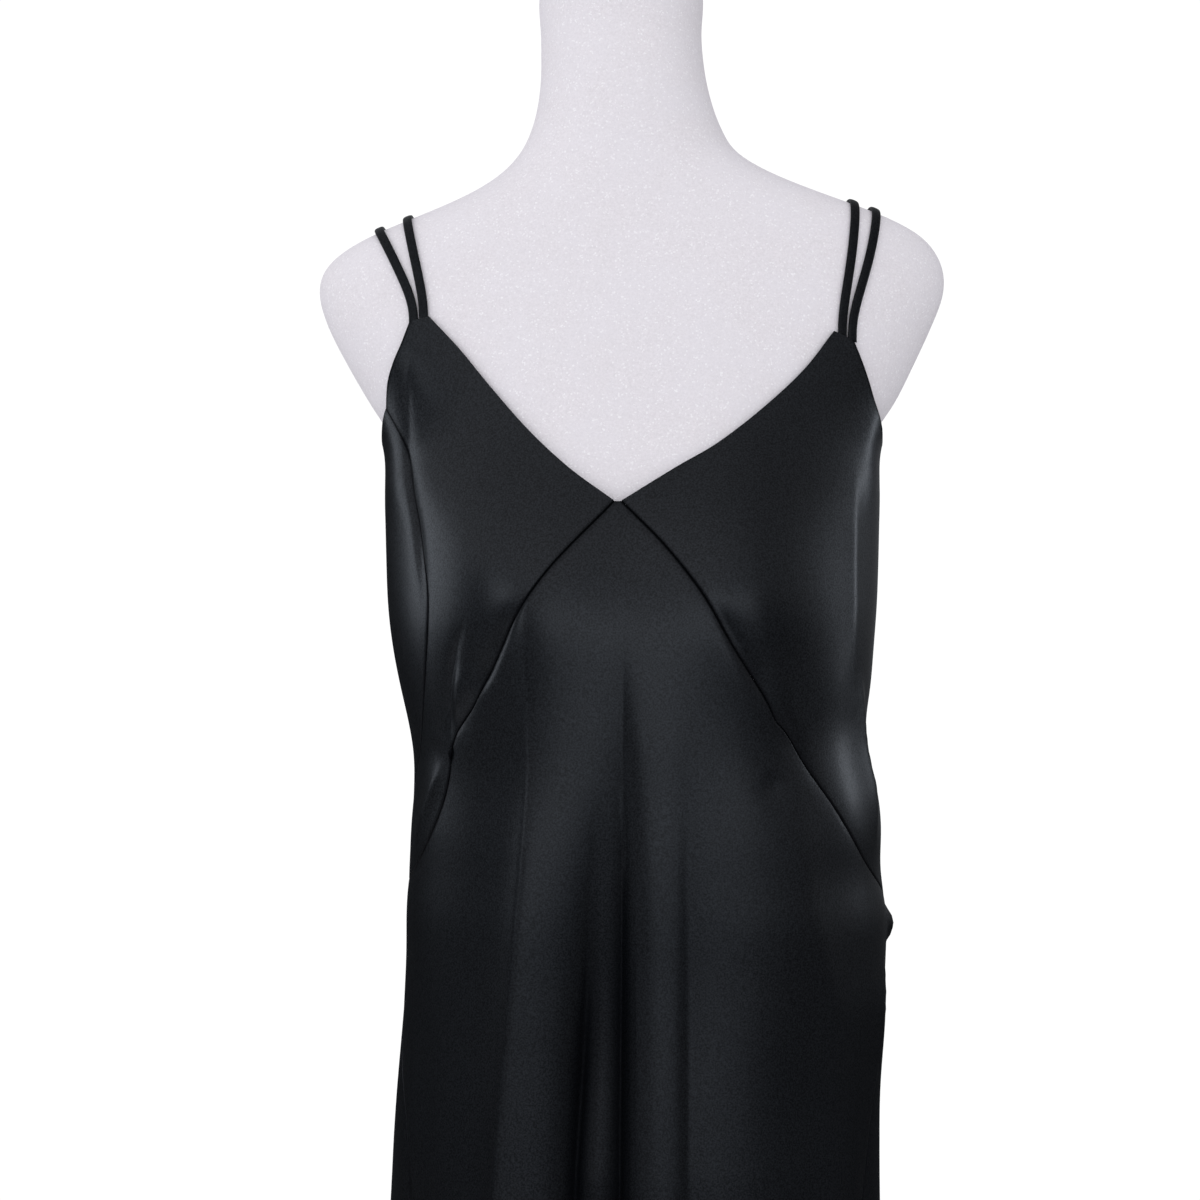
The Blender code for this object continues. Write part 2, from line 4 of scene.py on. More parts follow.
import bmesh
import bpy
import numpy as np
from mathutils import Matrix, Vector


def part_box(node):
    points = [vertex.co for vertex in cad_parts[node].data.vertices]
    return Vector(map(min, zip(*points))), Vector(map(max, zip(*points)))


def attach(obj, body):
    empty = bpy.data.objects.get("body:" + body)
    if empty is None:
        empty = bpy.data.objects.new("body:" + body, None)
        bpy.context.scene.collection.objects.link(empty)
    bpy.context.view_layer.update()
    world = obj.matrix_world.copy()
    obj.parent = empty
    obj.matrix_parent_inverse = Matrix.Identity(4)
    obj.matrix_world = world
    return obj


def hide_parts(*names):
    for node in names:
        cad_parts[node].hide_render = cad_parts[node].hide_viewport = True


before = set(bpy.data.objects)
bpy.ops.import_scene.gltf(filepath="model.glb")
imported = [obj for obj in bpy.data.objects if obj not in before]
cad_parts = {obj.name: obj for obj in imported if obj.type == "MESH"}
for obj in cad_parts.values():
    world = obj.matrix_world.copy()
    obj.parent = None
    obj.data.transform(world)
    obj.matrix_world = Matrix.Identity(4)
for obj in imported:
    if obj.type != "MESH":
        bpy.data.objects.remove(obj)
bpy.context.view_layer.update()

bpy.ops.object.select_all(action="DESELECT")

# ---------------------------------------------------------------- stand base
# A heavy round steel plate that carries the pole. It is cut from sheet, its rim is
# turned to a soft edge on a lathe, and its face is brushed in rings.

MM = 0.001
LATHE_STEPS = 128
AXIS_GAP = 0.5 * MM  # a turned face stops this far from the axis
SMOOTH_UNDER = math.radians(35)
FOOT_EDGE = 1 * MM
RIM_EDGE = 3 * MM
RIM_STEPS = 5
STEEL, WORN_STEEL = (0.60, 0.60, 0.62), (0.48, 0.48, 0.496)


def new_object(name, data):
    """A new object in the scene, at the origin."""
    made = bpy.data.objects.new(name, data)
    bpy.context.scene.collection.objects.link(made)
    return made


def turned(name, profile, steps=LATHE_STEPS):
    """A piece turned about the pole's axis from a closed profile of radius and height."""
    mesh = bpy.data.meshes.new(name)
    points = [(radius, 0, height) for radius, height in profile]
    edges = [(i, (i + 1) % len(points)) for i in range(len(points))]
    mesh.from_pydata(points, edges, [])
    piece = new_object(name, mesh)
    bpy.ops.object.select_all(action="DESELECT")
    bpy.context.view_layer.objects.active = piece
    piece.select_set(True)
    bpy.ops.object.mode_set(mode="EDIT")
    bpy.ops.mesh.select_all(action="SELECT")
    bpy.ops.mesh.spin(steps=steps, angle=2 * math.pi, center=(0, 0, 0), axis=(0, 0, 1))
    bpy.ops.mesh.select_all(action="SELECT")
    bpy.ops.mesh.remove_doubles(threshold=0.00001)
    bpy.ops.mesh.dissolve_degenerate(threshold=0.000001)
    bpy.ops.mesh.normals_make_consistent(inside=False)
    bpy.ops.object.mode_set(mode="OBJECT")
    bpy.ops.object.shade_smooth_by_angle(angle=SMOOTH_UNDER)
    piece.select_set(False)
    return piece


def rounded(corner, from_turn, to_turn, radius, steps=RIM_STEPS):
    """Points of a round edge about a centre, between two turns in degrees."""
    turns = np.radians(np.linspace(from_turn, to_turn, steps))
    return [(corner[0] + radius * math.cos(a), corner[1] + radius * math.sin(a)) for a in turns]


def set_levels(node, **levels):
    """Plain levels on the named inputs of a node."""
    for name, level in levels.items():
        node.inputs[name.replace("_", " ")].default_value = level


def noise(tree, where, scale, detail=2, roughness=0.5):
    """A soft noise over the places that a socket gives."""
    made = tree.nodes.new("ShaderNodeTexNoise")
    set_levels(made, Scale=scale, Detail=detail, Roughness=roughness)
    tree.links.new(where, made.inputs["Vector"])
    return made.outputs["Fac"]


def spread(tree, value, low, high, to_low, to_high, run="LINEAR"):
    """A value's stretch from low to high, spread from one level to another."""
    span = tree.nodes.new("ShaderNodeMapRange")
    span.interpolation_type = run
    set_levels(span, From_Min=low, From_Max=high, To_Min=to_low, To_Max=to_high)
    tree.links.new(value, span.inputs["Value"])
    return span.outputs[0]


def mixed(tree, factor, first, second):
    """A colour between two, each one plain or a socket's. The factor is one too."""
    mix = tree.nodes.new("ShaderNodeMix")
    mix.data_type = "RGBA"
    for name, colour in (("A", first), ("B", second)):
        if isinstance(colour, tuple):
            mix.inputs[name].default_value = (*colour, 1)
        else:
            tree.links.new(colour, mix.inputs[name])
    if isinstance(factor, float):
        mix.inputs["Factor"].default_value = factor
    else:
        tree.links.new(factor, mix.inputs["Factor"])
    return mix.outputs["Result"]


def joined(tree, operation, first, *others):
    """Values that are all added or all multiplied. The others are plain or sockets'."""
    for other in others:
        step = tree.nodes.new("ShaderNodeMath")
        step.operation = operation
        tree.links.new(first, step.inputs[0])
        if isinstance(other, float):
            step.inputs[1].default_value = other
        else:
            tree.links.new(other, step.inputs[1])
        first = step.outputs[0]
    return first


def raised(tree, height, strength, distance, under=None):
    """The normals of a fine relief, laid over another one's where that is given."""
    bumps = tree.nodes.new("ShaderNodeBump")
    set_levels(bumps, Strength=strength, Distance=distance)
    tree.links.new(height, bumps.inputs["Height"])
    if under is not None:
        tree.links.new(under, bumps.inputs["Normal"])
    return bumps.outputs[0]


def new_finish(name, **levels):
    """A new material, its node tree, and its shader's inputs, with their plain levels."""
    finish = bpy.data.materials.new(name)
    finish.use_nodes = True
    shader = finish.node_tree.nodes["Principled BSDF"]
    set_levels(shader, **levels)
    return finish, finish.node_tree, shader.inputs


def brush_marks():
    """Shader group: fine marks left by a brush. Place is the distance across the marks."""
    group = bpy.data.node_groups.new("brush_marks", "ShaderNodeTree")
    for name in ("Place", "Along"):
        group.interface.new_socket(name, in_out="INPUT", socket_type="NodeSocketFloat")
    for name in ("Roughness", "Height", "Shade"):
        group.interface.new_socket(name, in_out="OUTPUT", socket_type="NodeSocketFloat")
    nodes, links = group.nodes, group.links
    given, out = nodes.new("NodeGroupInput"), nodes.new("NodeGroupOutput")
    place = nodes.new("ShaderNodeCombineXYZ")
    links.new(given.outputs["Place"], place.inputs["X"])
    links.new(given.outputs["Along"], place.inputs["Y"])
    fine, broad = noise(group, place.outputs[0], 2600, 3), noise(group, place.outputs[0], 160)
    links.new(spread(group, fine, 0.3, 0.7, 0.24, 0.42), out.inputs["Roughness"])
    links.new(spread(group, broad, 0.3, 0.7, 0.86, 1.0), out.inputs["Shade"])
    links.new(fine, out.inputs["Height"])
    return group


BRUSH_MARKS = brush_marks()


def brushed_steel(name, across_rings):
    """Satin steel, brushed in rings on a plate or round the tube on a pole."""
    finish, tree, shader = new_finish(name, Metallic=1.0)
    nodes, links = tree.nodes, tree.links
    where = nodes.new("ShaderNodeTexCoord")
    marks = nodes.new("ShaderNodeGroup")
    marks.node_tree = BRUSH_MARKS
    if across_rings:
        flat, radius = nodes.new("ShaderNodeVectorMath"), nodes.new("ShaderNodeVectorMath")
        flat.operation, radius.operation = "MULTIPLY", "LENGTH"
        flat.inputs[1].default_value = (1, 1, 0)
        links.new(where.outputs["Object"], flat.inputs[0])
        links.new(flat.outputs[0], radius.inputs[0])
        links.new(radius.outputs["Value"], marks.inputs["Place"])
    else:
        parts = nodes.new("ShaderNodeSeparateXYZ")
        links.new(where.outputs["Object"], parts.inputs[0])
        links.new(parts.outputs["Z"], marks.inputs["Place"])
        links.new(joined(tree, "MULTIPLY", parts.outputs["X"], 0.05), marks.inputs["Along"])
    links.new(mixed(tree, marks.outputs["Shade"], WORN_STEEL, STEEL), shader["Base Color"])
    links.new(marks.outputs["Roughness"], shader["Roughness"])
    links.new(raised(tree, marks.outputs["Height"], 0.12, 0.1 * MM), shader["Normal"])
    return finish


PLATE_STEEL = brushed_steel("plate_steel", True)
TUBE_STEEL = brushed_steel("tube_steel", False)

low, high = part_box("stand_base")
plate_radius, plate_top = high.x, high.z
base = turned(
    "stand_plate",
    [(AXIS_GAP, 0), (plate_radius - FOOT_EDGE, 0), (plate_radius, FOOT_EDGE)]
    + rounded((plate_radius - RIM_EDGE, plate_top - RIM_EDGE), 0, 90, RIM_EDGE)
    + [(AXIS_GAP, plate_top)],
)
base.data.materials.append(PLATE_STEEL)
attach(base, "root")
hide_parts("stand_base")

# ---------------------------------------------------------------- pole, collar and flange
# A steel tube stands in a collar on the plate and carries a flanged socket, which is
# screwed up under the form. Each is turned, with broken edges.

BROKEN_EDGE = 0.8 * MM
EDGE_STEPS = 3
TUBE_STEPS = 64
BORE_GAP = 0.3 * MM
FOOT_REACH = 9 * MM  # how far the collar's foot stands out
FOOT_THICKNESS = 4 * MM
FLANGE_THICKNESS = 6 * MM
FILLET = 4 * MM
UPPER, LOWER = 0, 270  # where the round of an outer edge starts, in degrees


def broken(radius, height, start):
    """Points of a broken outer edge, in from its sharp corner."""
    middle = height + (BROKEN_EDGE if start == LOWER else -BROKEN_EDGE)
    return rounded((radius - BROKEN_EDGE, middle), start, start + 90, BROKEN_EDGE, EDGE_STEPS)


low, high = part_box("stand_pole")
pole_radius = high.x
pole = turned(
    "pole",
    [
        (AXIS_GAP, low.z),
        (pole_radius - BROKEN_EDGE, low.z),
        (pole_radius, low.z + BROKEN_EDGE),
        (pole_radius, high.z - BROKEN_EDGE),
        (pole_radius - BROKEN_EDGE, high.z),
        (AXIS_GAP, high.z),
    ],
    TUBE_STEPS,
)
low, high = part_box("stand_collar")
bore = pole_radius + BORE_GAP
foot_radius, collar_radius = high.x, high.x - FOOT_REACH
foot_top = low.z + FOOT_THICKNESS
collar = turned(
    "collar",
    [(bore, low.z), (foot_radius, low.z)]
    + broken(foot_radius, foot_top, UPPER)
    + rounded((collar_radius + FILLET, foot_top + FILLET), 270, 180, FILLET)
    + broken(collar_radius, high.z, UPPER)
    + [(bore, high.z)],
)
low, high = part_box("form_flange")
rim_foot = high.z - FLANGE_THICKNESS
socket = turned(
    "flange",
    [(bore, low.z)]
    + broken(collar_radius, low.z, LOWER)
    + rounded((collar_radius + FILLET, rim_foot - FILLET), 180, 90, FILLET)
    + broken(high.x, rim_foot, LOWER)
    + [(high.x, high.z), (bore, high.z)],
)
for piece, node in ((pole, "stand_pole"), (collar, "stand_collar"), (socket, "form_flange")):
    piece.data.materials.append(TUBE_STEEL)
    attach(piece, "root")
    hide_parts(node)

# ---------------------------------------------------------------- form
# The limbless form is a foam body under a tight cover of white short-pile velvet with a
# fine pearl glitter. Its shoulders end in short caps. Sections are in millimetres.

Section = namedtuple("Section", "height left right front back")
SECTION_POWER = 2.25  # 2 is an ellipse, more is squarer
BUST_OUT = 22
BUST_X = 78
BUST_HEIGHT = 1165
BUST_HALF_WIDTH = 42
BUST_HALF_HEIGHT = 46
BRIDGE_HALF_WIDTH = 45
SIDE_FADE = 0.2
FORM_ROW_STEP = 3.0
FORM_COLUMNS = 240
FORM_SOFTNESS = (1.7, 1.3)  # rows and columns that the foam rounds over
CAP_SHARES = (0.985, 0.93, 0.75, 0.45, 0.15)
PILE_DEEP, PILE_PALE = (0.72, 0.70, 0.735), (0.84, 0.82, 0.86)
BRUSHED_PILE = (0.80, 0.79, 0.84)
GLITTER = (0.97, 0.97, 1.0)
GLITTER_RARE = (0.93, 0.97)  # only flecks above these levels shine


def table(kind, *rows):
    """Rows of one kind, which names their numbers."""
    return [kind(*row) for row in rows]


FORM = table(
    Section,
    (784, 128, 128, 88, 86),
    (790, 136, 136, 96, 95),
    (850, 140, 142, 104, 103),
    (920, 136, 138, 100, 98),
    (980, 125, 128, 90, 87),
    (1030, 118, 121, 84, 76),
    (1090, 126, 128, 90, 82),
    (1140, 140, 141, 98, 92),
    (1170, 147, 148, 101, 96),
    (1210, 152, 152, 97, 99),
    (1248, 154, 153, 88, 97),
    (1274, 170, 170, 83, 96),
    (1300, 185, 183, 78, 92),
    (1326, 198, 195, 72, 88),
    (1345, 203, 202, 67, 84),
    (1360, 200, 202, 63, 80),
    (1372, 188, 197, 60, 77),
    (1384, 166, 186, 57, 74),
    (1396, 136, 162, 54, 71),
    (1408, 108, 128, 52, 68),
    (1420, 88, 96, 50, 66),
    (1434, 74, 70, 48, 63),
    (1452, 65, 58, 47, 60),
    (1475, 60, 50, 46, 58),
    (1510, 59, 45, 45, 58),
    (1545, 59, 45, 45, 58),
    (1553, 56, 42, 42, 55),
    (1556, 49, 35, 35, 48),
)


def curve_between(t, step, start, end, start_slope, end_slope):
    """A smooth curve at shares of a step, from its two ends and their slopes."""
    return (
        start * (1 + 2 * t) * (1 - t) ** 2
        + end * t**2 * (3 - 2 * t)
        + step * t * (1 - t) * (start_slope * (1 - t) - end_slope * t)
    )


def column(rows, name, height):
    """The named column of a table of sections, read at any height on a smooth curve."""
    at = np.array([row.height for row in rows], float)
    value = np.array([getattr(row, name) for row in rows], float)
    slope = np.gradient(value, at)
    height = np.clip(height, at[0], at[-1])
    i = np.clip(np.searchsorted(at, height) - 1, 0, len(at) - 2)
    step = at[i + 1] - at[i]
    t = (height - at[i]) / step
    return curve_between(t, step, value[i], value[i + 1], slope[i], slope[i + 1])


def bump(distance, half_width):
    return np.exp(-0.5 * (distance / half_width) ** 2)


def eased(t):
    """0 to 1 as t goes from 0 to 1, level at both ends."""
    t = np.clip(t, 0, 1)
    return t * t * (3 - 2 * t)


def bust(x, height, bridge):
    """How far the front stands out over the bust, with the cloth's bridge between."""
    cups = BUST_OUT * (bump(x - BUST_X, BUST_HALF_WIDTH) + bump(x + BUST_X, BUST_HALF_WIDTH))
    between = bridge * bump(x, BRIDGE_HALF_WIDTH)
    return (cups + between) * bump(height - BUST_HEIGHT, BUST_HALF_HEIGHT)


def reaches(rows, x, y, height):
    """Half the width and half the depth of the sections, towards a place."""
    reach_x = np.where(x < 0, column(rows, "left", height), column(rows, "right", height))
    reach_y = np.where(y > 0, column(rows, "back", height), column(rows, "front", height))
    return reach_x, reach_y


def rings(rows, height, angle, bridge):
    """Section points at each height and angle. Angle 0 is the centre front."""
    sine, cosine = np.sin(angle), np.cos(angle)
    reach_x, reach_y = reaches(rows, sine, -cosine, height)
    x = np.sign(sine) * reach_x * np.abs(sine) ** (2 / SECTION_POWER)
    y = -np.sign(cosine) * reach_y * np.abs(cosine) ** (2 / SECTION_POWER)
    return x, y - bust(x, height, bridge) * eased(cosine / SIDE_FADE)


def softened(values, steps, axis, closed=False):
    """The values with each one averaged with its neighbours along an axis."""
    reach = int(3 * steps + 1)
    share = bump(np.arange(-reach, reach + 1), steps)
    ends = [(reach, reach) if k == axis else (0, 0) for k in range(values.ndim)]
    style = {"mode": "wrap"} if closed else {"mode": "reflect", "reflect_type": "odd"}
    wide = np.pad(values, ends, **style)
    count = values.shape[axis]
    total = sum(
        each * np.take(wide, np.arange(k, k + count), axis=axis) for k, each in enumerate(share)
    )
    return total / share.sum()


def mesh_piece(name, points, faces):
    """A new smooth-shaded piece from points in millimetres and faces."""
    mesh = bpy.data.meshes.new(name)
    mesh.from_pydata((np.asarray(points) * MM).tolist(), [], faces)
    mesh.update()
    mesh.shade_smooth()
    return new_object(name, mesh)


def closed_tube(rings_up):
    """Points and faces of closed rings, row by row upwards, with a middle point at each end."""
    rows, columns = rings_up.shape[:2]
    count, last = rows * columns, (rows - 1) * columns
    faces = []
    for c in range(columns):
        n = (c + 1) % columns
        for r in range(0, last, columns):
            faces.append((r + c, r + n, r + columns + n, r + columns + c))
        faces.append((count, n, c))
        faces.append((count + 1, last + c, last + n))
    return np.concatenate([rings_up.reshape(-1, 3), rings_up[[0, -1]].mean(axis=1)]), faces


def build_form():
    heights = np.arange(FORM[0].height, FORM[-1].height + 0.1, FORM_ROW_STEP)
    heights[-1] = FORM[-1].height
    angle = np.arange(FORM_COLUMNS) / FORM_COLUMNS * 2 * math.pi
    sides = rings(FORM, heights[:, None], angle[None, :], 0)
    rows_over, columns_over = FORM_SOFTNESS
    x, y = (softened(softened(side, rows_over, 0), columns_over, 1, True) for side in sides)
    z = np.repeat(heights[:, None], FORM_COLUMNS, axis=1)
    grid = np.stack([x, y, z], 2)
    middle = grid[[0, -1]].mean(axis=1)
    under = [middle[0] + share * (grid[0] - middle[0]) for share in CAP_SHARES[::-1]]
    over = [middle[1] + share * (grid[-1] - middle[1]) for share in CAP_SHARES]
    return mesh_piece("velvet_form", *closed_tube(np.concatenate([under, grid, over])))


def pearl_velvet():
    """White short-pile velvet: a soft even pile, slightly brushed about, and a fine glitter."""
    finish, tree, shader = new_finish(
        "pearl_velvet",
        Sheen_Weight=0.25,
        Sheen_Roughness=0.5,
        Sheen_Tint=(0.95, 0.93, 1.0, 1),
        Specular_IOR_Level=0.35,
    )
    nodes, links = tree.nodes, tree.links
    where = nodes.new("ShaderNodeTexCoord").outputs["Object"]
    tufts = noise(tree, where, 620, 4, 0.75)
    brushed = noise(tree, where, 34, 3, 0.55)
    flecks, levels = nodes.new("ShaderNodeTexVoronoi"), nodes.new("ShaderNodeSeparateColor")
    set_levels(flecks, Scale=1100)
    links.new(where, flecks.inputs["Vector"])
    links.new(flecks.outputs["Color"], levels.inputs[0])
    pile = mixed(tree, spread(tree, tufts, 0.32, 0.68, 0, 1), PILE_DEEP, PILE_PALE)
    hazed = mixed(tree, spread(tree, brushed, 0.35, 0.65, 0, 0.35), pile, BRUSHED_PILE)
    spark = spread(tree, levels.outputs[0], *GLITTER_RARE, 0, 0.6)
    links.new(mixed(tree, spark, hazed, GLITTER), shader["Base Color"])
    links.new(spread(tree, levels.outputs[0], *GLITTER_RARE, 0.78, 0.3), shader["Roughness"])
    links.new(raised(tree, noise(tree, where, 1500, 1), 0.35, 0.6 * MM), shader["Normal"])
    return finish


form = build_form()
form.data.materials.append(pearl_velvet())
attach(form, "root")
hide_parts("form_torso")

# ---------------------------------------------------------------- front skirt
# The largest piece: one bias-cut panel of near-black satin, from a small tip at the V
# neck to the hem. It hangs free below the waist in long soft folds.

CLOTH_WALL = 0.9
CLOTH_STANDOFF = 3.4  # outer face of the cloth above the form where it lies on it
BUST_BRIDGE = 9
HEM_HEIGHT = 330
UNDERARM_HEIGHT = 1250
ARMHOLE_FOOT = 1243  # the lowest point of an armhole
HIP_HEIGHT = 800
HEM_SPREAD = 0.35
FOLD_RUN = 0.8  # the share of the way to the hip in which a fold gets its depth
DRAPE_ROW_STEP = 2.0
DRAPE_COLUMNS = 480  # from the centre front to the centre back
DRAPE_FOOT, DRAPE_TOP = HEM_HEIGHT - 30, 1350
DRAPE_SOFTNESS = 4.0
FULL_GIRTH = 2.0  # girths run from -1 to 1, both at the centre back, with 0 at the centre front
PLACE_SCALE = np.array([480.0, 1.0])  # about how many mm a step of girth and of height make
GIRTH_STEP = 0.002
GRAIN_TURN = 45  # the bias cut, in degrees from upright
EDGE_ROWS = (0.0, 0.15, 0.35, 0.65, 1.1, 1.8)  # in from an edge, where the cloth rolls over

HANGING = table(
    Section,
    (330, 189, 190, 158, 150),
    (500, 176, 177, 146, 138),
    (650, 165, 167, 136, 129),
    (767, 157, 161, 129, 125),
    (832, 153, 161, 125, 122),
    (884, 148, 164, 122.5, 117),
    (923, 146, 164, 121.5, 111),
    (949, 146, 164, 121.5, 106),
    (975, 144, 160, 121.5, 101),
    (1001, 143, 161, 121.5, 96),
    (1027, 141, 158, 121.5, 93),
    (1047, 141, 152.5, 121.5, 92),
    (1066, 144, 150.5, 121, 92),
    (1092, 150, 154, 118.5, 94),
    (1118, 155, 156, 114, 97),
    (1144, 158, 158, 108.5, 99),
    (1170, 159, 159, 104, 100),
    (1209, 160, 160, 100, 102),
    (1248, 161, 161, 92, 101),
)
CLOTH = HANGING + [
    Section(row.height, *(size + CLOTH_STANDOFF for size in row[1:]))
    for row in FORM
    if row.height > UNDERARM_HEIGHT
]

# A fold's girths and depths are at its start, the hip and the hem. Right and left are how
# wide its sides are, and bottom is how softly it turns between them.
Fold = namedtuple(
    "Fold", "start girth_start girth_hip girth_hem right left bottom depth_hip depth_hem"
)
FOLDS = table(
    Fold,
    (1210, -0.141, -0.179, -0.202, 14, 40, 2.0, -13, -17),
    (1040, -0.056, -0.083, -0.095, 13, 11, 0.6, 14.5, 25),
    (1165, -0.017, -0.020, -0.032, 22, 9, 0.4, 15, 28),
    (1110, 0.075, 0.073, 0.066, 5, 14, 4.0, 4.5, 16),
    (960, 0.235, 0.250, 0.205, 22, 14, 8.0, 3, 13),
    (900, 0.380, 0.370, 0.340, 20, 16, 8.0, 3, 15),
    (930, -0.330, -0.335, -0.330, 20, 20, 9.0, 3, 15),
    (900, -0.550, -0.545, -0.470, 14, 18, 7.0, 3, 13),
    (900, 0.560, 0.550, 0.490, 18, 14, 7.0, 3, 13),
    (1010, -0.700, -0.690, -0.640, 18, 10, 4.0, 6, 15),
    (1040, -0.840, -0.830, -0.790, 9, 15, 3.0, 8, 16),
    (1000, -0.960, -0.955, -0.930, 14, 9, 4.0, 7, 16),
    (1050, 0.900, 0.895, 0.880, 14, 8, 2.5, 8, 15),
    (990, 0.760, 0.755, 0.740, 10, 17, 4.0, 7, 17),
    (970, 0.640, 0.630, 0.610, 17, 12, 5.0, 4, 13),
)


def hanging_cloth():
    """The smooth hanging surface as a grid of places over height and girth."""
    heights = np.arange(DRAPE_FOOT, DRAPE_TOP + 0.1, DRAPE_ROW_STEP)
    angle = np.linspace(-math.pi, math.pi, 3 * DRAPE_COLUMNS + 1)
    x, y = rings(CLOTH, heights[:, None], angle[None, :], BUST_BRIDGE)
    length = np.hypot(np.diff(x, axis=1), np.diff(y, axis=1))
    along = np.concatenate([np.zeros((len(x), 1)), np.cumsum(length, axis=1)], axis=1)
    along -= along[:, [along.shape[1] // 2]]
    girth = np.arange(-DRAPE_COLUMNS, DRAPE_COLUMNS) / DRAPE_COLUMNS
    halves = np.stack([-along[:, 0], along[:, -1]], 1)
    grid = np.zeros((len(heights), len(girth), 2))
    for i in range(len(heights)):
        at = girth * np.where(girth < 0, halves[i, 0], halves[i, 1])
        grid[i, :, 0] = np.interp(at, along[i], x[i])
        grid[i, :, 1] = np.interp(at, along[i], y[i])
    grid = softened(softened(grid, DRAPE_SOFTNESS, 0), DRAPE_SOFTNESS, 1, True)
    return heights, grid, halves


DRAPE_HEIGHTS, DRAPE, DRAPE_HALVES = hanging_cloth()


def cubic_shares(t):
    """Weights of four neighbours for a smooth reading between the middle two."""
    return (
        0.5 * (-t + 2 * t**2 - t**3),
        0.5 * (2 - 5 * t**2 + 3 * t**3),
        0.5 * (t + 4 * t**2 - 3 * t**3),
        0.5 * (-(t**2) + t**3),
    )


def read_grid(grid, row, column, up, across):
    """A smooth reading of a grid, shares of a step up and across from its rows and columns."""
    total = 0
    for a, up_share in enumerate(cubic_shares(up)):
        for b, across_share in enumerate(cubic_shares(across)):
            near = grid[row + a - 1, (column + b - 1) % grid.shape[1]]
            total = total + (up_share * across_share)[..., None] * near
    return total


def drape_at(girth, height):
    """x and y of the smooth hanging surface at arrays of girth and height."""
    across = (np.asarray(girth) + 1) * DRAPE_COLUMNS
    up = (np.asarray(height) - DRAPE_HEIGHTS[0]) / DRAPE_ROW_STEP
    i = np.clip(np.floor(up).astype(int), 1, len(DRAPE_HEIGHTS) - 3)
    j = np.floor(across).astype(int)
    place = read_grid(DRAPE, i, j, up - i, across - j)
    return place[..., 0], place[..., 1]


def half_girth_at(girth, height):
    left, right = (np.interp(height, DRAPE_HEIGHTS, DRAPE_HALVES[:, k]) for k in (0, 1))
    return np.where(np.asarray(girth) < 0, left, right)


def trough(distance, width, bottom):
    """The share of a fold's depth at distances from its line: steepest close to the line."""
    return np.exp((bottom - np.hypot(distance, bottom)) / width)


def fold_depth(girth, height):
    """How far the cloth is pushed in at a place, by all the long folds together."""
    half = half_girth_at(girth, height)
    depth = 0.0
    for fold in FOLDS:
        upper = np.clip((fold.start - height) / (fold.start - HIP_HEIGHT), 0, 1)
        lower = np.clip((HIP_HEIGHT - height) / (HIP_HEIGHT - HEM_HEIGHT), 0, 1)
        line = (
            fold.girth_start
            + (fold.girth_hip - fold.girth_start) * upper
            + (fold.girth_hem - fold.girth_hip) * lower
        )
        reach = fold.depth_hip * eased(upper / FOLD_RUN) + (fold.depth_hem - fold.depth_hip) * lower
        apart = (girth - line + 1) % FULL_GIRTH - 1
        width = np.where(apart < 0, fold.right, fold.left) * (1 + HEM_SPREAD * lower)
        depth = depth + reach * trough(apart * half, width, fold.bottom)
    return depth


FRONT_GIRTHS = np.linspace(-0.5, 0.5, 2001)


def on_front(rows):
    """The places of points on the front, which are given by x and height."""
    lines = [drape_at(FRONT_GIRTHS, np.full(FRONT_GIRTHS.shape, float(r.height)))[0] for r in rows]
    return [(float(np.interp(r.x, line, FRONT_GIRTHS)), r.height) for r, line in zip(rows, lines)]


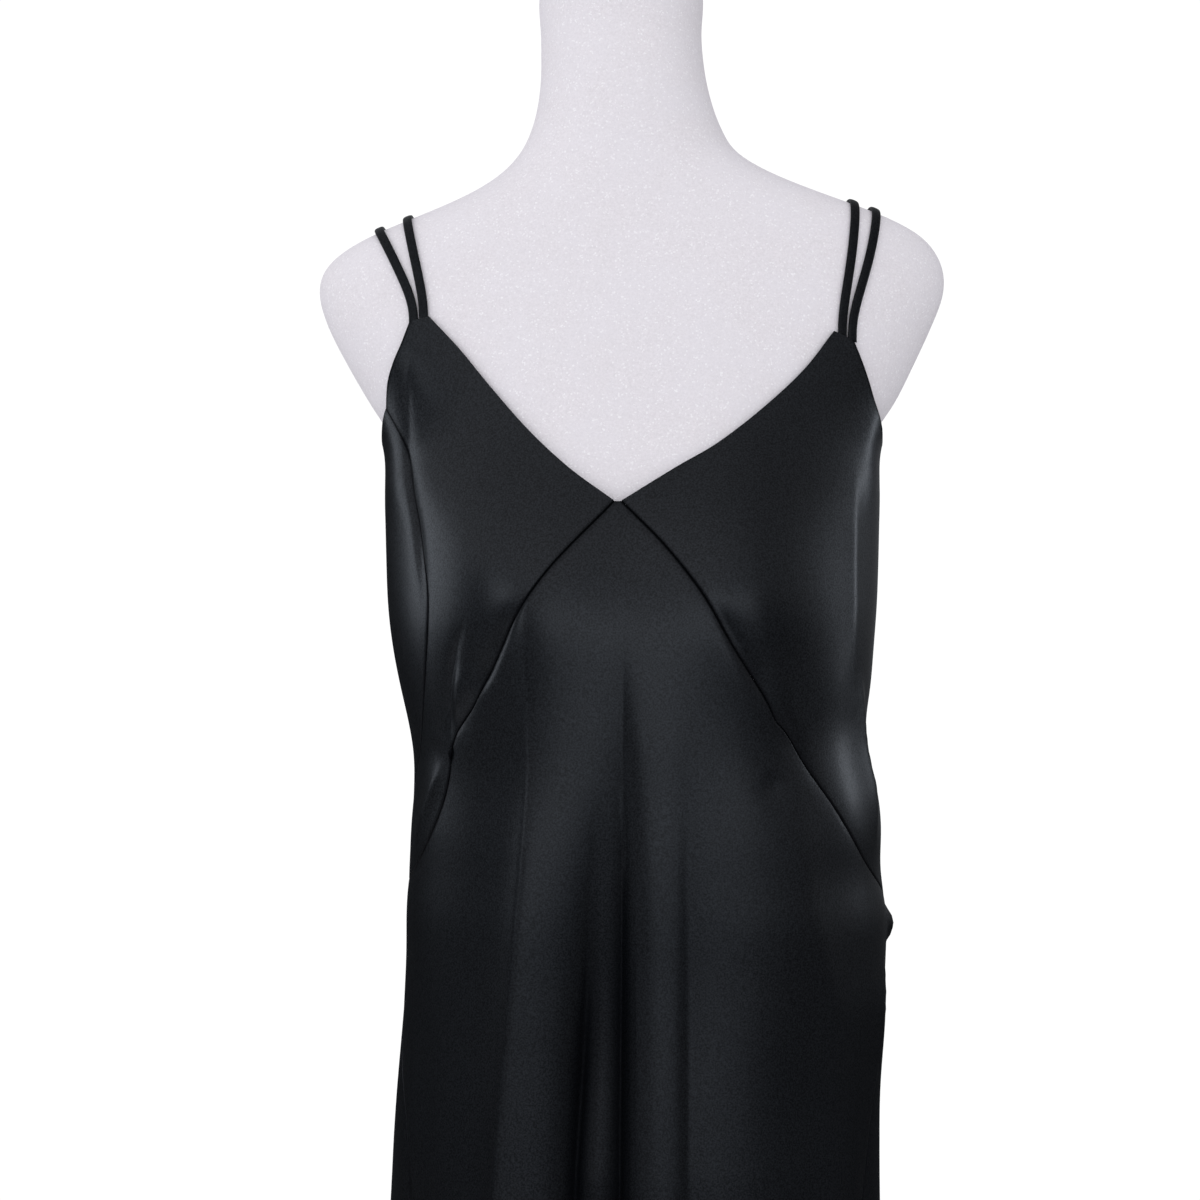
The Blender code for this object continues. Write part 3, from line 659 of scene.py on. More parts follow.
# Creases are short troughs, or ridges where the depth is below 0. Each runs down a curve
# through three places, given by girth and height.
Crease = namedtuple(
    "Crease", "girth_1 height_1 girth_2 height_2 girth_3 height_3 right left bottom depth"
)
CREASE_STEPS = 32
CREASE_FADE = 0.4  # the share of its length in which a crease comes and goes
CREASE_REACH = 6  # how many times its width a crease is felt
LEAST_HALF_GIRTH = 380
FAR_AWAY = 1e9
CREASES = table(
    Crease,
    # from the right strap point down beside the side seam
    (-0.302, 1308, -0.348, 1258, -0.364, 1215, 3, 3, 1.5, 0.7),
    (-0.364, 1256, -0.350, 1200, -0.322, 1128, 2.5, 6, 1.2, 2.6),
    # the cloth bridges the hollow in front of each underarm
    (-0.375, 1285, -0.395, 1240, -0.395, 1190, 14, 14, 12.0, -3.0),
    (0.375, 1280, 0.395, 1240, 0.400, 1190, 14, 14, 12.0, -3.0),
    # where the seam pulls the right bodice in, and its small pucker
    (-0.150, 1150, -0.200, 1113, -0.240, 1085, 8, 3, 2.0, 2.6),
    (-0.240, 1140, -0.290, 1092, -0.302, 1052, 3, 3, 1.2, 2.4),
    (-0.262, 1110, -0.275, 1088, -0.285, 1070, 4, 4, 3.0, -1.2),
    (-0.325, 1052, -0.372, 1020, -0.432, 980, 10, 4, 3.0, -2.6),
    (-0.225, 1100, -0.262, 1078, -0.296, 1066, 3, 9, 1.5, 1.4),
    # beside the left seam
    (0.100, 1152, 0.150, 1115, 0.206, 1077, 3, 7, 1.5, 2.2),
    (0.180, 1118, 0.225, 1085, 0.262, 1058, 5, 8, 4.0, -1.0),
    (0.205, 1075, 0.255, 1048, 0.300, 1020, 3, 4, 1.5, 0.8),
    # the soft ridge that catches light down the left side
    (0.358, 1240, 0.352, 1165, 0.372, 1085, 14, 13, 2.5, -2.8),
    (0.385, 1105, 0.422, 1050, 0.414, 985, 11, 3, 1.4, -4.0),
    # the diagonal over the left hip
    (0.250, 1052, 0.252, 950, 0.335, 835, 18, 12, 8.0, -2.6),
    (0.425, 940, 0.408, 870, 0.355, 770, 11, 2.5, 2.0, -3.0),
    (0.455, 930, 0.432, 865, 0.378, 765, 5, 8, 3.0, 3.4),
    (0.490, 950, 0.505, 937, 0.500, 922, 5, 6, 3.0, -5.6),
    (0.188, 1042, 0.200, 1034, 0.206, 1025, 4, 4, 3.0, 0.9),
)


def crease_depth(girth, height):
    """How far the cloth is pushed in at a place, by the short creases together."""
    half = half_girth_at(girth, height)
    depth = np.zeros(np.shape(girth))
    steps = np.linspace(0, 1, CREASE_STEPS + 1)
    for crease in CREASES:
        knots = np.array(crease[:6], float).reshape(3, 2)
        bend = 2 * knots[1] - (knots[0] + knots[2]) / 2
        line = (
            np.outer((1 - steps) ** 2, knots[0])
            + np.outer(2 * steps * (1 - steps), bend)
            + np.outer(steps**2, knots[2])
        )
        reach = CREASE_REACH * max(crease.right, crease.left) + crease.bottom
        wide = np.ptp(line[:, 0]) / 2 + reach / LEAST_HALF_GIRTH
        near = (
            (height < line[:, 1].max() + reach)
            & (height > line[:, 1].min() - reach)
            & (np.abs(girth - line[:, 0].mean()) < wide)
        )
        if not near.any():
            continue
        g, h, w = girth[near], height[near], half[near]
        best = np.full(g.shape, FAR_AWAY)
        share, side = np.zeros(g.shape), np.zeros(g.shape)
        for k, (start, end) in enumerate(zip(line[:-1], line[1:])):
            run = (end - start) * PLACE_SCALE
            off_x, off_y = (g - start[0]) * w, h - start[1]
            t = np.clip((off_x * run[0] + off_y * run[1]) / (run @ run), 0, 1)
            apart = np.hypot(off_x - t * run[0], off_y - t * run[1])
            closer = apart < best
            best = np.where(closer, apart, best)
            share = np.where(closer, (k + t) / CREASE_STEPS, share)
            side = np.where(closer, run[0] * off_y - run[1] * off_x, side)
        fade = eased(share / CREASE_FADE) * eased((1 - share) / CREASE_FADE)
        width = np.where(side < 0, crease.right, crease.left)
        depth[near] += crease.depth * fade * trough(best, width, crease.bottom)
    return depth


def cloth_at(places):
    """Points of the cloth's outer face at a grid of places, rows of girth and height."""
    girth, height = places[..., 0], places[..., 1]
    x, y = drape_at(girth, height)
    ahead, behind = (drape_at(girth + step, height) for step in (GIRTH_STEP, -GIRTH_STEP))
    run_x, run_y = ahead[0] - behind[0], ahead[1] - behind[1]
    size = np.hypot(run_x, run_y)
    depth = fold_depth(girth, height) + crease_depth(girth, height)
    return np.stack([x - depth * run_y / size, y + depth * run_x / size, height], -1)


Front = namedtuple("Front", "x height")
Side = namedtuple("Side", "height girth")

V_TIP_RIGHT = Front(-12.2, 1207)
V_TIP_LEFT = Front(-8.0, 1207)
RIGHT_V_SEAM = [V_TIP_RIGHT] + table(
    Front,
    (-57, 1159), (-72, 1136), (-85.5, 1108), (-98, 1083), (-109.5, 1064.5), (-112.5, 1055),
    (-113, 1044), (-115, 1032), (-120, 1016), (-127.3, 999), (-135.6, 982),
)
LEFT_V_SEAM = [V_TIP_LEFT] + table(
    Front,
    (18, 1180), (39, 1153), (57, 1123), (82, 1081.5), (85.5, 1073.5), (89.5, 1069.5),
    (106.5, 1043.6), (122, 1021.4), (142, 988.6),
)
RIGHT_SIDE = table(
    Side,
    (1268, -0.385), (1244, -0.364), (1212, -0.353), (1180, -0.339), (1150, -0.323), (1108, -0.338),
    (1078, -0.370), (1050, -0.415), (1020, -0.490), (962, -0.530), (880, -0.470), (828, -0.390),
    (768, -0.355), (330, -0.375),
)
LEFT_SIDE = table(
    Side,
    (ARMHOLE_FOOT, 0.500), (1150, 0.560), (1050, 0.560), (945, 0.530), (905, 0.480), (860, 0.425),
    (768, 0.365), (330, 0.380),
)
RIGHT_JOIN_HEIGHT = 962
LEFT_JOIN_HEIGHT = 945
SEAM_KNOTS = 60
WALK_STEPS = 60  # how finely a walk is measured, for each place it goes through


def lengths_along(line):
    """How far along a line of points each one lies."""
    return np.concatenate([[0], np.cumsum(np.linalg.norm(np.diff(line, axis=0), axis=1))])


def walk(places, shares):
    """Places at shares of the length of a smooth curve through the given ones."""
    knots = np.array(places, float) * PLACE_SCALE
    at = lengths_along(knots)
    slope = np.gradient(knots, at, axis=0)
    fine = np.linspace(0, at[-1], WALK_STEPS * len(knots))
    i = np.clip(np.searchsorted(at, fine) - 1, 0, len(at) - 2)
    step = (at[i + 1] - at[i])[:, None]
    t = (fine - at[i])[:, None] / step
    curve = curve_between(t, step, knots[i], knots[i + 1], slope[i], slope[i + 1])
    travelled = lengths_along(curve)
    wanted = np.asarray(shares) * travelled[-1]
    return np.stack([np.interp(wanted, travelled, line) for line in curve.T], 1) / PLACE_SCALE


def side_seam(rows, top, bottom, shares):
    """Places down a side seam between two heights."""
    height = np.linspace(top, bottom, SEAM_KNOTS)
    girth = column(rows[::-1], "girth", height)
    return walk(np.stack([girth, height], 1), shares)


def spacing(length, step, start_edge=True, end_edge=True):
    """Shares of a length, close together where the cloth rolls over at its edges."""
    edge = np.array(EDGE_ROWS)
    first, last = edge[-1] if start_edge else 0, edge[-1] if end_edge else 0
    inner = np.linspace(first, length - last, max(round((length - first - last) / step), 2) + 1)
    parts = [edge[:-1]] if start_edge else []
    parts += [inner] + ([length - edge[-2::-1]] if end_edge else [])
    return np.concatenate(parts) / length


def patch(left, right, top, bottom, down, across):
    """A grid of places between four edges, at shares down and across."""
    v, u = np.asarray(down)[:, None, None], np.asarray(across)[None, :, None]
    sides = (1 - u) * left[:, None] + u * right[:, None]
    ends = (1 - v) * top[None] + v * bottom[None]
    corners = (1 - v) * ((1 - u) * top[0] + u * top[-1]) + v * (
        (1 - u) * bottom[0] + u * bottom[-1]
    )
    return sides + ends - corners


SPREAD_STEPS = 40
SPREAD_ROUNDS = 1500


def spread_patch(left, right, top, bottom, down, across):
    """A patch whose rows and columns are spread out evenly, so that none of them cross."""
    even = np.linspace(0, 1, SPREAD_STEPS + 1)
    edges = (
        np.stack([np.interp(even, shares, line) for line in edge.T], 1)
        for edge, shares in ((left, down), (right, down), (top, across), (bottom, across))
    )
    first = patch(*edges, even, even)
    grid = first * PLACE_SCALE
    for _ in range(SPREAD_ROUNDS):
        u = (grid[1:-1, 2:] - grid[1:-1, :-2]) / 2
        v = (grid[2:, 1:-1] - grid[:-2, 1:-1]) / 2
        twist = (grid[2:, 2:] - grid[2:, :-2] - grid[:-2, 2:] + grid[:-2, :-2]) / 4
        a, b, c = ((m * n).sum(axis=2, keepdims=True) for m, n in ((v, v), (u, v), (u, u)))
        side_sum = grid[1:-1, 2:] + grid[1:-1, :-2]
        up_sum = grid[2:, 1:-1] + grid[:-2, 1:-1]
        grid[1:-1, 1:-1] = (a * side_sum + c * up_sum - 2 * b * twist) / (2 * (a + c))
    moved = grid / PLACE_SCALE - first
    places = patch(left, right, top, bottom, down, across)
    rows, columns = down[:, None] * SPREAD_STEPS, across[None, :] * SPREAD_STEPS
    i, j = (np.clip(np.floor(at).astype(int), 0, SPREAD_STEPS - 1) for at in (rows, columns))
    wide = np.pad(moved, ((1, 1), (1, 1), (0, 0)), mode="reflect", reflect_type="odd")
    return places + read_grid(wide, i + 1, j + 1, rows - i, columns - j)


def unit(arrows):
    return arrows / np.maximum(np.linalg.norm(arrows, axis=-1, keepdims=True), 1e-12)


def outward(grid):
    """The direction that each point of a grid of cloth faces."""
    return unit(np.cross(np.gradient(grid, axis=1), -np.gradient(grid, axis=0)))


def from_edge(grid, edge):
    """How far each point of a grid of cloth lies from one of its edges."""
    line = {"top": grid[0], "bottom": grid[-1], "left": grid[:, 0], "right": grid[:, -1]}[edge]
    far = np.full(grid.shape[:2], FAR_AWAY)
    for start, end in zip(line[:-1], line[1:]):
        run = end - start
        t = np.clip((grid - start) @ run / (run @ run), 0, 1)
        far = np.minimum(far, np.linalg.norm(grid - start - t[..., None] * run, axis=2))
    return far


SEAM_DIP = 0.9  # how deep the edge of a panel turns into its seam
SEAM_ROLL = 0.5  # how wide that roll is
SEAM_PULL = 0.25  # how far the stitching draws the cloth in beside a seam
SEAM_PULL_WIDTH = 4.0
RIM_SHARE = 0.4  # how far a rim stands out, as a share of the cloth's thickness


def seam_dip(far, firmly):
    """How far the cloth lies in at distances from a seam."""
    return firmly * (
        SEAM_DIP * np.exp(-((far / SEAM_ROLL) ** 1.5)) + SEAM_PULL * bump(far, SEAM_PULL_WIDTH)
    )


# Painted shade: the satin's shine is dimmed in deep folds and beside seams, where shade falls.
PAINTED_SHADE_START, PAINTED_SHADE_FULL = 4.0, 16.0  # how deep in a fold the painted shade on the cloth begins, and is full
PAINTED_SEAM_SHADE_WIDTH = 1.2


def painted_shade_at(places, *seams):
    """How much painted shade each place gets, deep in a fold or close to a seam, from 0 to 1."""
    deep = fold_depth(places[..., 0], places[..., 1])
    beside = sum(np.exp(-((far / PAINTED_SEAM_SHADE_WIDTH) ** 2)) for far in seams)
    return np.clip(eased((deep - PAINTED_SHADE_START) / (PAINTED_SHADE_FULL - PAINTED_SHADE_START)) + beside, 0, 1)


def cloth_wall(name, outer, places, grain, painted_shade):
    """A closed shell of cloth with rolled rims, its weave laid out in metres, and its painted
    shade.
    """
    rows, columns = outer.shape[:2]
    facing = outward(outer)
    inner = outer - CLOTH_WALL * facing
    count = rows * columns
    index = np.arange(count).reshape(rows, columns)
    a, b, c, d = index[:-1, :-1], index[1:, :-1], index[1:, 1:], index[:-1, 1:]
    front = np.stack([a, b, c, d], -1).reshape(-1, 4)
    back = front[:, ::-1] + count
    rim = np.concatenate([index[0, :-1], index[:-1, -1], index[-1, :0:-1], index[:0:-1, 0]])
    flat_outer, flat_inner = outer.reshape(-1, 3), inner.reshape(-1, 3)
    along = np.roll(flat_outer[rim], -1, axis=0) - np.roll(flat_outer[rim], 1, axis=0)
    away = unit(np.cross(along, facing.reshape(-1, 3)[rim]))
    middle = (flat_outer[rim] + flat_inner[rim]) / 2 + RIM_SHARE * CLOTH_WALL * away
    turn = 2 * count + np.arange(len(rim))
    step = np.roll(np.arange(len(rim)), -1)
    near_rim = np.stack([rim, rim[step], turn[step], turn], 1)
    far_rim = np.stack([turn, turn[step], rim[step] + count, rim + count], 1)
    points = np.concatenate([flat_outer, flat_inner, middle])
    piece = mesh_piece(name, points, np.concatenate([front, back, near_rim, far_rim]).tolist())
    girth, height = places[..., 0].ravel(), places[..., 1].ravel()
    flat = np.stack([girth * half_girth_at(girth, height), height], 1) * MM
    cosine, sine = math.cos(math.radians(grain)), math.sin(math.radians(grain))
    flat = flat @ np.array([[cosine, -sine], [sine, cosine]]).T
    flat = np.concatenate([flat, flat, flat[rim]])
    # painted shade in folds and beside seams, carried to the satin as a second UV layer
    painted_shade = painted_shade.ravel()
    painted_shade = np.concatenate([painted_shade, painted_shade, painted_shade[rim]])
    loops = np.zeros(len(piece.data.loops), int)
    piece.data.loops.foreach_get("vertex_index", loops)
    for layer_name, spots in (("weave", flat), ("painted_shade", np.stack([painted_shade, 0 * painted_shade], 1))):
        layer = piece.data.uv_layers.new(name=layer_name)
        layer.data.foreach_set("uv", spots[loops].astype(np.float32).ravel())
    return piece


CAST_GREY, CAST_BLUE = (0.0022, 0.0024, 0.0030), (0.0018, 0.0026, 0.0038)
THREAD_DARK, THREAD_LIGHT = (0.0012, 0.0013, 0.0018), (0.0038, 0.0041, 0.0052)


def satin(name, shine):
    """Near-black blue satin: a fine float weave under a soft broad sheen, a little uneven."""
    finish, tree, shader = new_finish(
        name,
        Sheen_Weight=0.01,
        Sheen_Roughness=0.35,
        Sheen_Tint=(0.75, 0.88, 1.0, 1),
        Specular_Tint=(0.83, 0.89, 1.0, 1),
        Coat_Roughness=0.27,
        Coat_Tint=(0.9, 0.95, 1.0, 1),
    )
    nodes, links = tree.nodes, tree.links
    where = nodes.new("ShaderNodeTexCoord").outputs["Object"]
    # a second UV layer carries the painted shade for folds and seams
    weave, painted_shade_map = nodes.new("ShaderNodeUVMap"), nodes.new("ShaderNodeUVMap")
    weave.uv_map, painted_shade_map.uv_map = "weave", "painted_shade"
    drawn_out, painted_shade_parts = nodes.new("ShaderNodeMapping"), nodes.new("ShaderNodeSeparateXYZ")
    set_levels(drawn_out, Scale=(1, 0.28, 1))
    links.new(weave.outputs[0], drawn_out.inputs["Vector"])
    links.new(painted_shade_map.outputs[0], painted_shade_parts.inputs[0])
    painted_shade = painted_shade_parts.outputs["X"]
    floats = noise(tree, drawn_out.outputs[0], 900)
    speckle, drift = noise(tree, where, 1000), noise(tree, where, 7)
    cast = mixed(tree, spread(tree, drift, 0.35, 0.65, 0, 1), CAST_GREY, CAST_BLUE)
    thread = mixed(tree, spread(tree, speckle, 0.3, 0.7, 0, 1), THREAD_DARK, THREAD_LIGHT)
    links.new(mixed(tree, 0.5, cast, thread), shader["Base Color"])
    links.new(spread(tree, floats, 0.3, 0.7, 0.38, 0.46), shader["Roughness"])
    gloss = spread(tree, speckle, 0.35, 0.65, 0.1 * shine, 0.32 * shine)
    # painted shade: the shine and the coat are dimmed where the cloth lies deep in a fold or beside
    # a seam
    gloss = joined(tree, "MULTIPLY", gloss, spread(tree, painted_shade, 0, 1, 1, 0.1))
    links.new(gloss, shader["Specular IOR Level"])
    links.new(spread(tree, painted_shade, 0, 1, 0.28 * shine, 0.02), shader["Coat Weight"])
    threads = raised(tree, floats, 0.25, 0.2 * MM)
    links.new(raised(tree, speckle, 0.2, 0.3 * MM, threads), shader["Normal"])
    return finish


SATIN = satin("black_satin", 1.0)
SKIRT_ROW_STEP = 4.2
SKIRT_COLUMN_STEP = 2.6
MIDDLE_CROWDING = 1.35  # above 1, columns are closer in the middle, where the folds are sharp
RIGHT_V_LENGTH, LEFT_V_LENGTH, V_TIP_WIDTH = 290.0, 300.0, 7.5
SKIRT_LENGTH = 760.0
HEM_TURN = 10.0  # the hem is turned up this far and held by a blind row of stitches
HEM_STITCH_ROWS = (-0.9, -0.35, 0.35, 0.9)
HEM_STITCH_DEPTH = 0.45
HEM_STITCH_WIDTH = 0.5
HEM_STITCH_ROOM = 1.2


def with_hem(down, length):
    """The shares down a piece, with more rows close to the hem's stitches."""
    stitched = 1 - (HEM_TURN + np.array(HEM_STITCH_ROWS)) / length
    apart = np.abs(down[:, None] - stitched).min(axis=1) * length
    return np.sort(np.concatenate([down[apart > HEM_STITCH_ROOM], stitched]))


def hem_dip(places):
    """How far the stitches draw the cloth in, just above the hem."""
    above = places[..., 1] - HEM_HEIGHT - HEM_TURN
    return HEM_STITCH_DEPTH * np.exp(-((above / HEM_STITCH_WIDTH) ** 2))


def sewn_panel(name, places, grain, seams, hemmed=False):
    """A satin panel over a grid of places. A seam is an edge and how firmly it is drawn in."""
    grid = cloth_at(places)
    distances = [from_edge(grid, edge) for edge, _ in seams]
    pushed = sum(seam_dip(far, firmly) for far, (_, firmly) in zip(distances, seams))
    if hemmed:
        pushed = pushed + hem_dip(places)
    outer = grid - pushed[..., None] * outward(grid)
    piece = cloth_wall(name, outer, places, grain, painted_shade_at(places, *distances))
    piece.data.materials.append(SATIN)
    return piece


skirt_down = with_hem(spacing(SKIRT_LENGTH, SKIRT_ROW_STEP), SKIRT_LENGTH)
v_right_shares = 1 - spacing(RIGHT_V_LENGTH, SKIRT_COLUMN_STEP, end_edge=False)
v_left_shares = 1 - spacing(LEFT_V_LENGTH, SKIRT_COLUMN_STEP, end_edge=False)[::-1]
v_right_shares, v_left_shares = v_right_shares**MIDDLE_CROWDING, v_left_shares**MIDDLE_CROWDING
right_lower = side_seam(RIGHT_SIDE, RIGHT_JOIN_HEIGHT, HEM_HEIGHT, skirt_down)
left_lower = side_seam(LEFT_SIDE, LEFT_JOIN_HEIGHT, HEM_HEIGHT, skirt_down)
right_v_places = on_front(RIGHT_V_SEAM) + [tuple(right_lower[0])]
left_v_places = on_front(LEFT_V_SEAM) + [tuple(left_lower[0])]
skirt_top = np.concatenate(
    [walk(right_v_places, v_right_shares), walk(left_v_places, v_left_shares)]
)
skirt_across = np.concatenate(
    [
        (1 - v_right_shares) * RIGHT_V_LENGTH,
        RIGHT_V_LENGTH + V_TIP_WIDTH + v_left_shares * LEFT_V_LENGTH,
    ]
)
skirt_across /= skirt_across[-1]
skirt_hem = right_lower[-1] + skirt_across[:, None] * (left_lower[-1] - right_lower[-1])
skirt_places = patch(right_lower, left_lower, skirt_top, skirt_hem, skirt_down, skirt_across)
skirt_seams = (("top", 1), ("left", 1), ("right", 1))
skirt = sewn_panel("satin_skirt", skirt_places, GRAIN_TURN, skirt_seams, hemmed=True)
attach(skirt, "root")
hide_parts("front_skirt")

# ---------------------------------------------------------------- bodices
# Two front pieces, each from its strap down to the angled seam and round to the side
# seam. Neckline and armhole are turned in, with no stitches on the face.

BODICE_ROW_STEP = 2.8
BODICE_COLUMN_STEP = 2.6
BODICE_LENGTH = 330.0
BODICE_WIDTH = 280.0
RIGHT_NECKLINE = table(
    Front,
    (-127.4, 1323.8), (-110.1, 1305.1), (-89.2, 1279.5), (-67.3, 1254.0), (-41.4, 1228.8),
) + [V_TIP_RIGHT]
LEFT_NECKLINE = table(
    Front,
    (125.0, 1314.5), (108.0, 1292.5), (81.2, 1266.8), (48.5, 1241.3), (27.0, 1228.7),
) + [V_TIP_LEFT]
RIGHT_ARMHOLE = table(Front, (-145, 1308), (-151, 1295), (-155, 1281))
LEFT_ARMHOLE = table(Front, (141.3, 1301), (147, 1287), (152, 1272.5), (155.5, 1260), (158, 1251))
RIGHT_CORNER, LEFT_CORNER = Front(-139.5, 1321.5), Front(137.5, 1309.5)
SEAM_START, SEAM_GROWTH = 1212, 20  # a side seam lies flat above this height
BODICE_GRAIN = 20

Bodice = namedtuple(
    "Bodice",
    "name node neckline corner armhole arm_share side join seam seam_side grain flat area",
)
BODICES = table(
    Bodice,
    (
        "satin_bodice_right", "bodice_right", RIGHT_NECKLINE, RIGHT_CORNER, RIGHT_ARMHOLE, 0.15,
        RIGHT_SIDE, RIGHT_JOIN_HEIGHT, right_v_places, "left", BODICE_GRAIN, (0.19, 0.37), 0.027,
    ),
    (
        "satin_bodice_left", "bodice_left", LEFT_NECKLINE, LEFT_CORNER, LEFT_ARMHOLE, 0.17,
        LEFT_SIDE, LEFT_JOIN_HEIGHT, left_v_places, "right", -BODICE_GRAIN, (0.28, 0.38), 0.051,
    ),
)

bodice_down = spacing(BODICE_LENGTH, BODICE_ROW_STEP)
bodice_across = spacing(BODICE_WIDTH, BODICE_COLUMN_STEP)
for bodice in BODICES:
    foot = bodice.side[0]
    arm = on_front([bodice.corner, *bodice.armhole]) + [(foot.girth, foot.height)]
    in_arm = bodice_down < bodice.arm_share
    below = (bodice_down[~in_arm] - bodice.arm_share) / (1 - bodice.arm_share)
    outer_edge = np.concatenate(
        [
            walk(arm, bodice_down[in_arm] / bodice.arm_share),
            side_seam(bodice.side, foot.height, bodice.join, below),
        ]
    )
    inner_edge = walk(on_front(bodice.neckline), bodice_down)
    first, last = np.array(on_front([bodice.neckline[0], bodice.corner]))
    top = first + bodice_across[:, None] * (last - first)
    bottom = walk(bodice.seam, bodice_across)
    if bodice.seam_side == "left":
        edges, across = (outer_edge, inner_edge, top[::-1], bottom[::-1]), 1 - bodice_across[::-1]
    else:
        edges, across = (inner_edge, outer_edge, top, bottom), bodice_across
    places = spread_patch(*edges, bodice_down, across)
    below_arm = eased((SEAM_START - places[..., 1]) / SEAM_GROWTH)
    seams = (("bottom", 1), (bodice.seam_side, below_arm))
    piece = sewn_panel(bodice.name, places, bodice.grain, seams)
    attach(piece, "root")
    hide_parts(bodice.node)

# ---------------------------------------------------------------- back panel
# One bias-cut piece from a gently scooped top edge to the hem. It wraps round to the
# side seams and falls in folds like those in front.

BACK_ROW_STEP = 4.2
BACK_COLUMN_STEP = 3.0
BACK_LENGTH, BACK_WIDTH = 900.0, 560.0
BACK_EDGE = [RIGHT_SIDE[0]] + table(
    Side,
    (1254, -0.425), (1246, -0.470), (ARMHOLE_FOOT, -0.530), (1241, -0.620), (1236, -0.740),
    (1214, -0.880), (1206, -1.000), (1214, -1.120), (1236, -1.260), (1241, -1.380),
    (ARMHOLE_FOOT, -1.500),
)

back_down = with_hem(spacing(BACK_LENGTH, BACK_ROW_STEP), BACK_LENGTH)
back_across = spacing(BACK_WIDTH, BACK_COLUMN_STEP)
right_whole = side_seam(RIGHT_SIDE, RIGHT_SIDE[0].height, HEM_HEIGHT, back_down)
left_whole = side_seam(LEFT_SIDE, LEFT_SIDE[0].height, HEM_HEIGHT, back_down) - (FULL_GIRTH, 0)
back_top = walk([(row.girth, row.height) for row in BACK_EDGE], 1 - back_across)
back_hem = left_whole[-1] + back_across[:, None] * (right_whole[-1] - left_whole[-1])
back_places = patch(left_whole, right_whole, back_top, back_hem, back_down, back_across)
below_arm = eased((SEAM_START - back_places[..., 1]) / SEAM_GROWTH)
back_seams = (("left", below_arm), ("right", below_arm))
back = sewn_panel("satin_back", back_places, GRAIN_TURN, back_seams, hemmed=True)
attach(back, "root")
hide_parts("back_panel")

# ---------------------------------------------------------------- straps
# Four narrow straps of the same satin, sewn as tubes and turned out, then pressed a
# little flat. A pair is sewn into each strap point and runs over the shoulder.

STRAP_WIDTH = 6.0
STRAP_THICKNESS = 2.2
STRAP_LIFT = 0.8
STRAP_PITCH = 6.4
STRAP_STATIONS = 160
STRAP_SIDES = 24
STRAP_TUCK = 6.0  # how far an end runs under the edge it is sewn to
SHOULDER_PIVOT_Y = 6
SHOULDER_PIVOT_HEIGHT = 1290
RIDGE_TURN = math.radians(88)
RISE_SHARE = 0.85
STRAP_SOFTNESS = 2.5
PROBES = 0.5 * np.eye(3)  # steps along x, y and z that show which way the form faces
FARTHEST, HALVINGS = 240.0, 44  # how far out the form's face is looked for, and how finely
SQUARE_ACROSS, SQUARE_UP = 0.75, 0.85  # 1 gives an ellipse, less a squarer strap
LONG_PUFF, LONG_PUFF_LENGTH = 0.05, 9.0  # how much a strap swells and thins, and over how far
SHORT_PUFF, SHORT_PUFF_LENGTH = 0.04, 3.7

Strap = namedtuple("Strap", "node front_x front_height ridge_x back_x back_height side")
STRAPS = table(
    Strap,
    ("strap_right_outer", -133.5, 1323, -162.5, -97, 1234.5, -1),
    ("strap_right_inner", -133.5, 1323, -144, -97, 1232.2, 1),
    ("strap_left_inner", 133, 1314, 141.5, 97, 1232.2, -1),
    ("strap_left_outer", 133, 1314, 155.5, 97, 1234.5, 1),
)


def outside_form(x, y, height):
    """Above 0 outside the form."""
    reach_x, reach_y = reaches(FORM, x, y, height)
    total = np.abs(x / reach_x) ** SECTION_POWER + np.abs(y / reach_y) ** SECTION_POWER
    return total ** (1 / SECTION_POWER) - 1


def turn_to(x, height, behind):
    """The turn about the shoulder's pivot line that meets the form at this height."""
    reach_x, reach_y = reaches(FORM, x, 1 if behind else -1, height)
    depth = reach_y * max(1 - (abs(x) / reach_x) ** SECTION_POWER, 0) ** (1 / SECTION_POWER)
    y = depth if behind else -depth
    return math.atan2(height - SHOULDER_PIVOT_HEIGHT, SHOULDER_PIVOT_Y - y)


def strap_route(strap):
    """Points on the form's face under a strap, and which way the form faces there."""
    front_x = strap.front_x + strap.side * STRAP_PITCH / 2
    back_x = strap.back_x + strap.side * STRAP_PITCH / 2
    start, first = (turn_to(front_x, strap.front_height - t, False) for t in (STRAP_TUCK, 0))
    last, end = (turn_to(back_x, strap.back_height - t, True) for t in (0, STRAP_TUCK))
    if last < first:
        last, end = last + 2 * math.pi, end + 2 * math.pi
    turn = np.linspace(start, end, STRAP_STATIONS)
    rise = eased((turn - first) / (RIDGE_TURN - first) / RISE_SHARE)
    fall = eased((turn - RIDGE_TURN) / (last - RIDGE_TURN))
    x = front_x + (strap.ridge_x - front_x) * rise + (back_x - strap.ridge_x) * fall
    near, far = np.zeros(len(turn)), np.full(len(turn), FARTHEST)
    for _ in range(HALVINGS):
        middle = (near + far) / 2
        y = SHOULDER_PIVOT_Y - middle * np.cos(turn)
        height = SHOULDER_PIVOT_HEIGHT + middle * np.sin(turn)
        within = outside_form(x, y, height) < 0
        near, far = np.where(within, middle, near), np.where(within, far, middle)
    y, height = SHOULDER_PIVOT_Y - near * np.cos(turn), SHOULDER_PIVOT_HEIGHT + near * np.sin(turn)
    face = softened(np.stack([x, y, height], 1), STRAP_SOFTNESS, 0)
    slopes = [outside_form(*(face + by).T) - outside_form(*(face - by).T) for by in PROBES]
    return face, unit(softened(unit(np.stack(slopes, 1)), STRAP_SOFTNESS, 0))


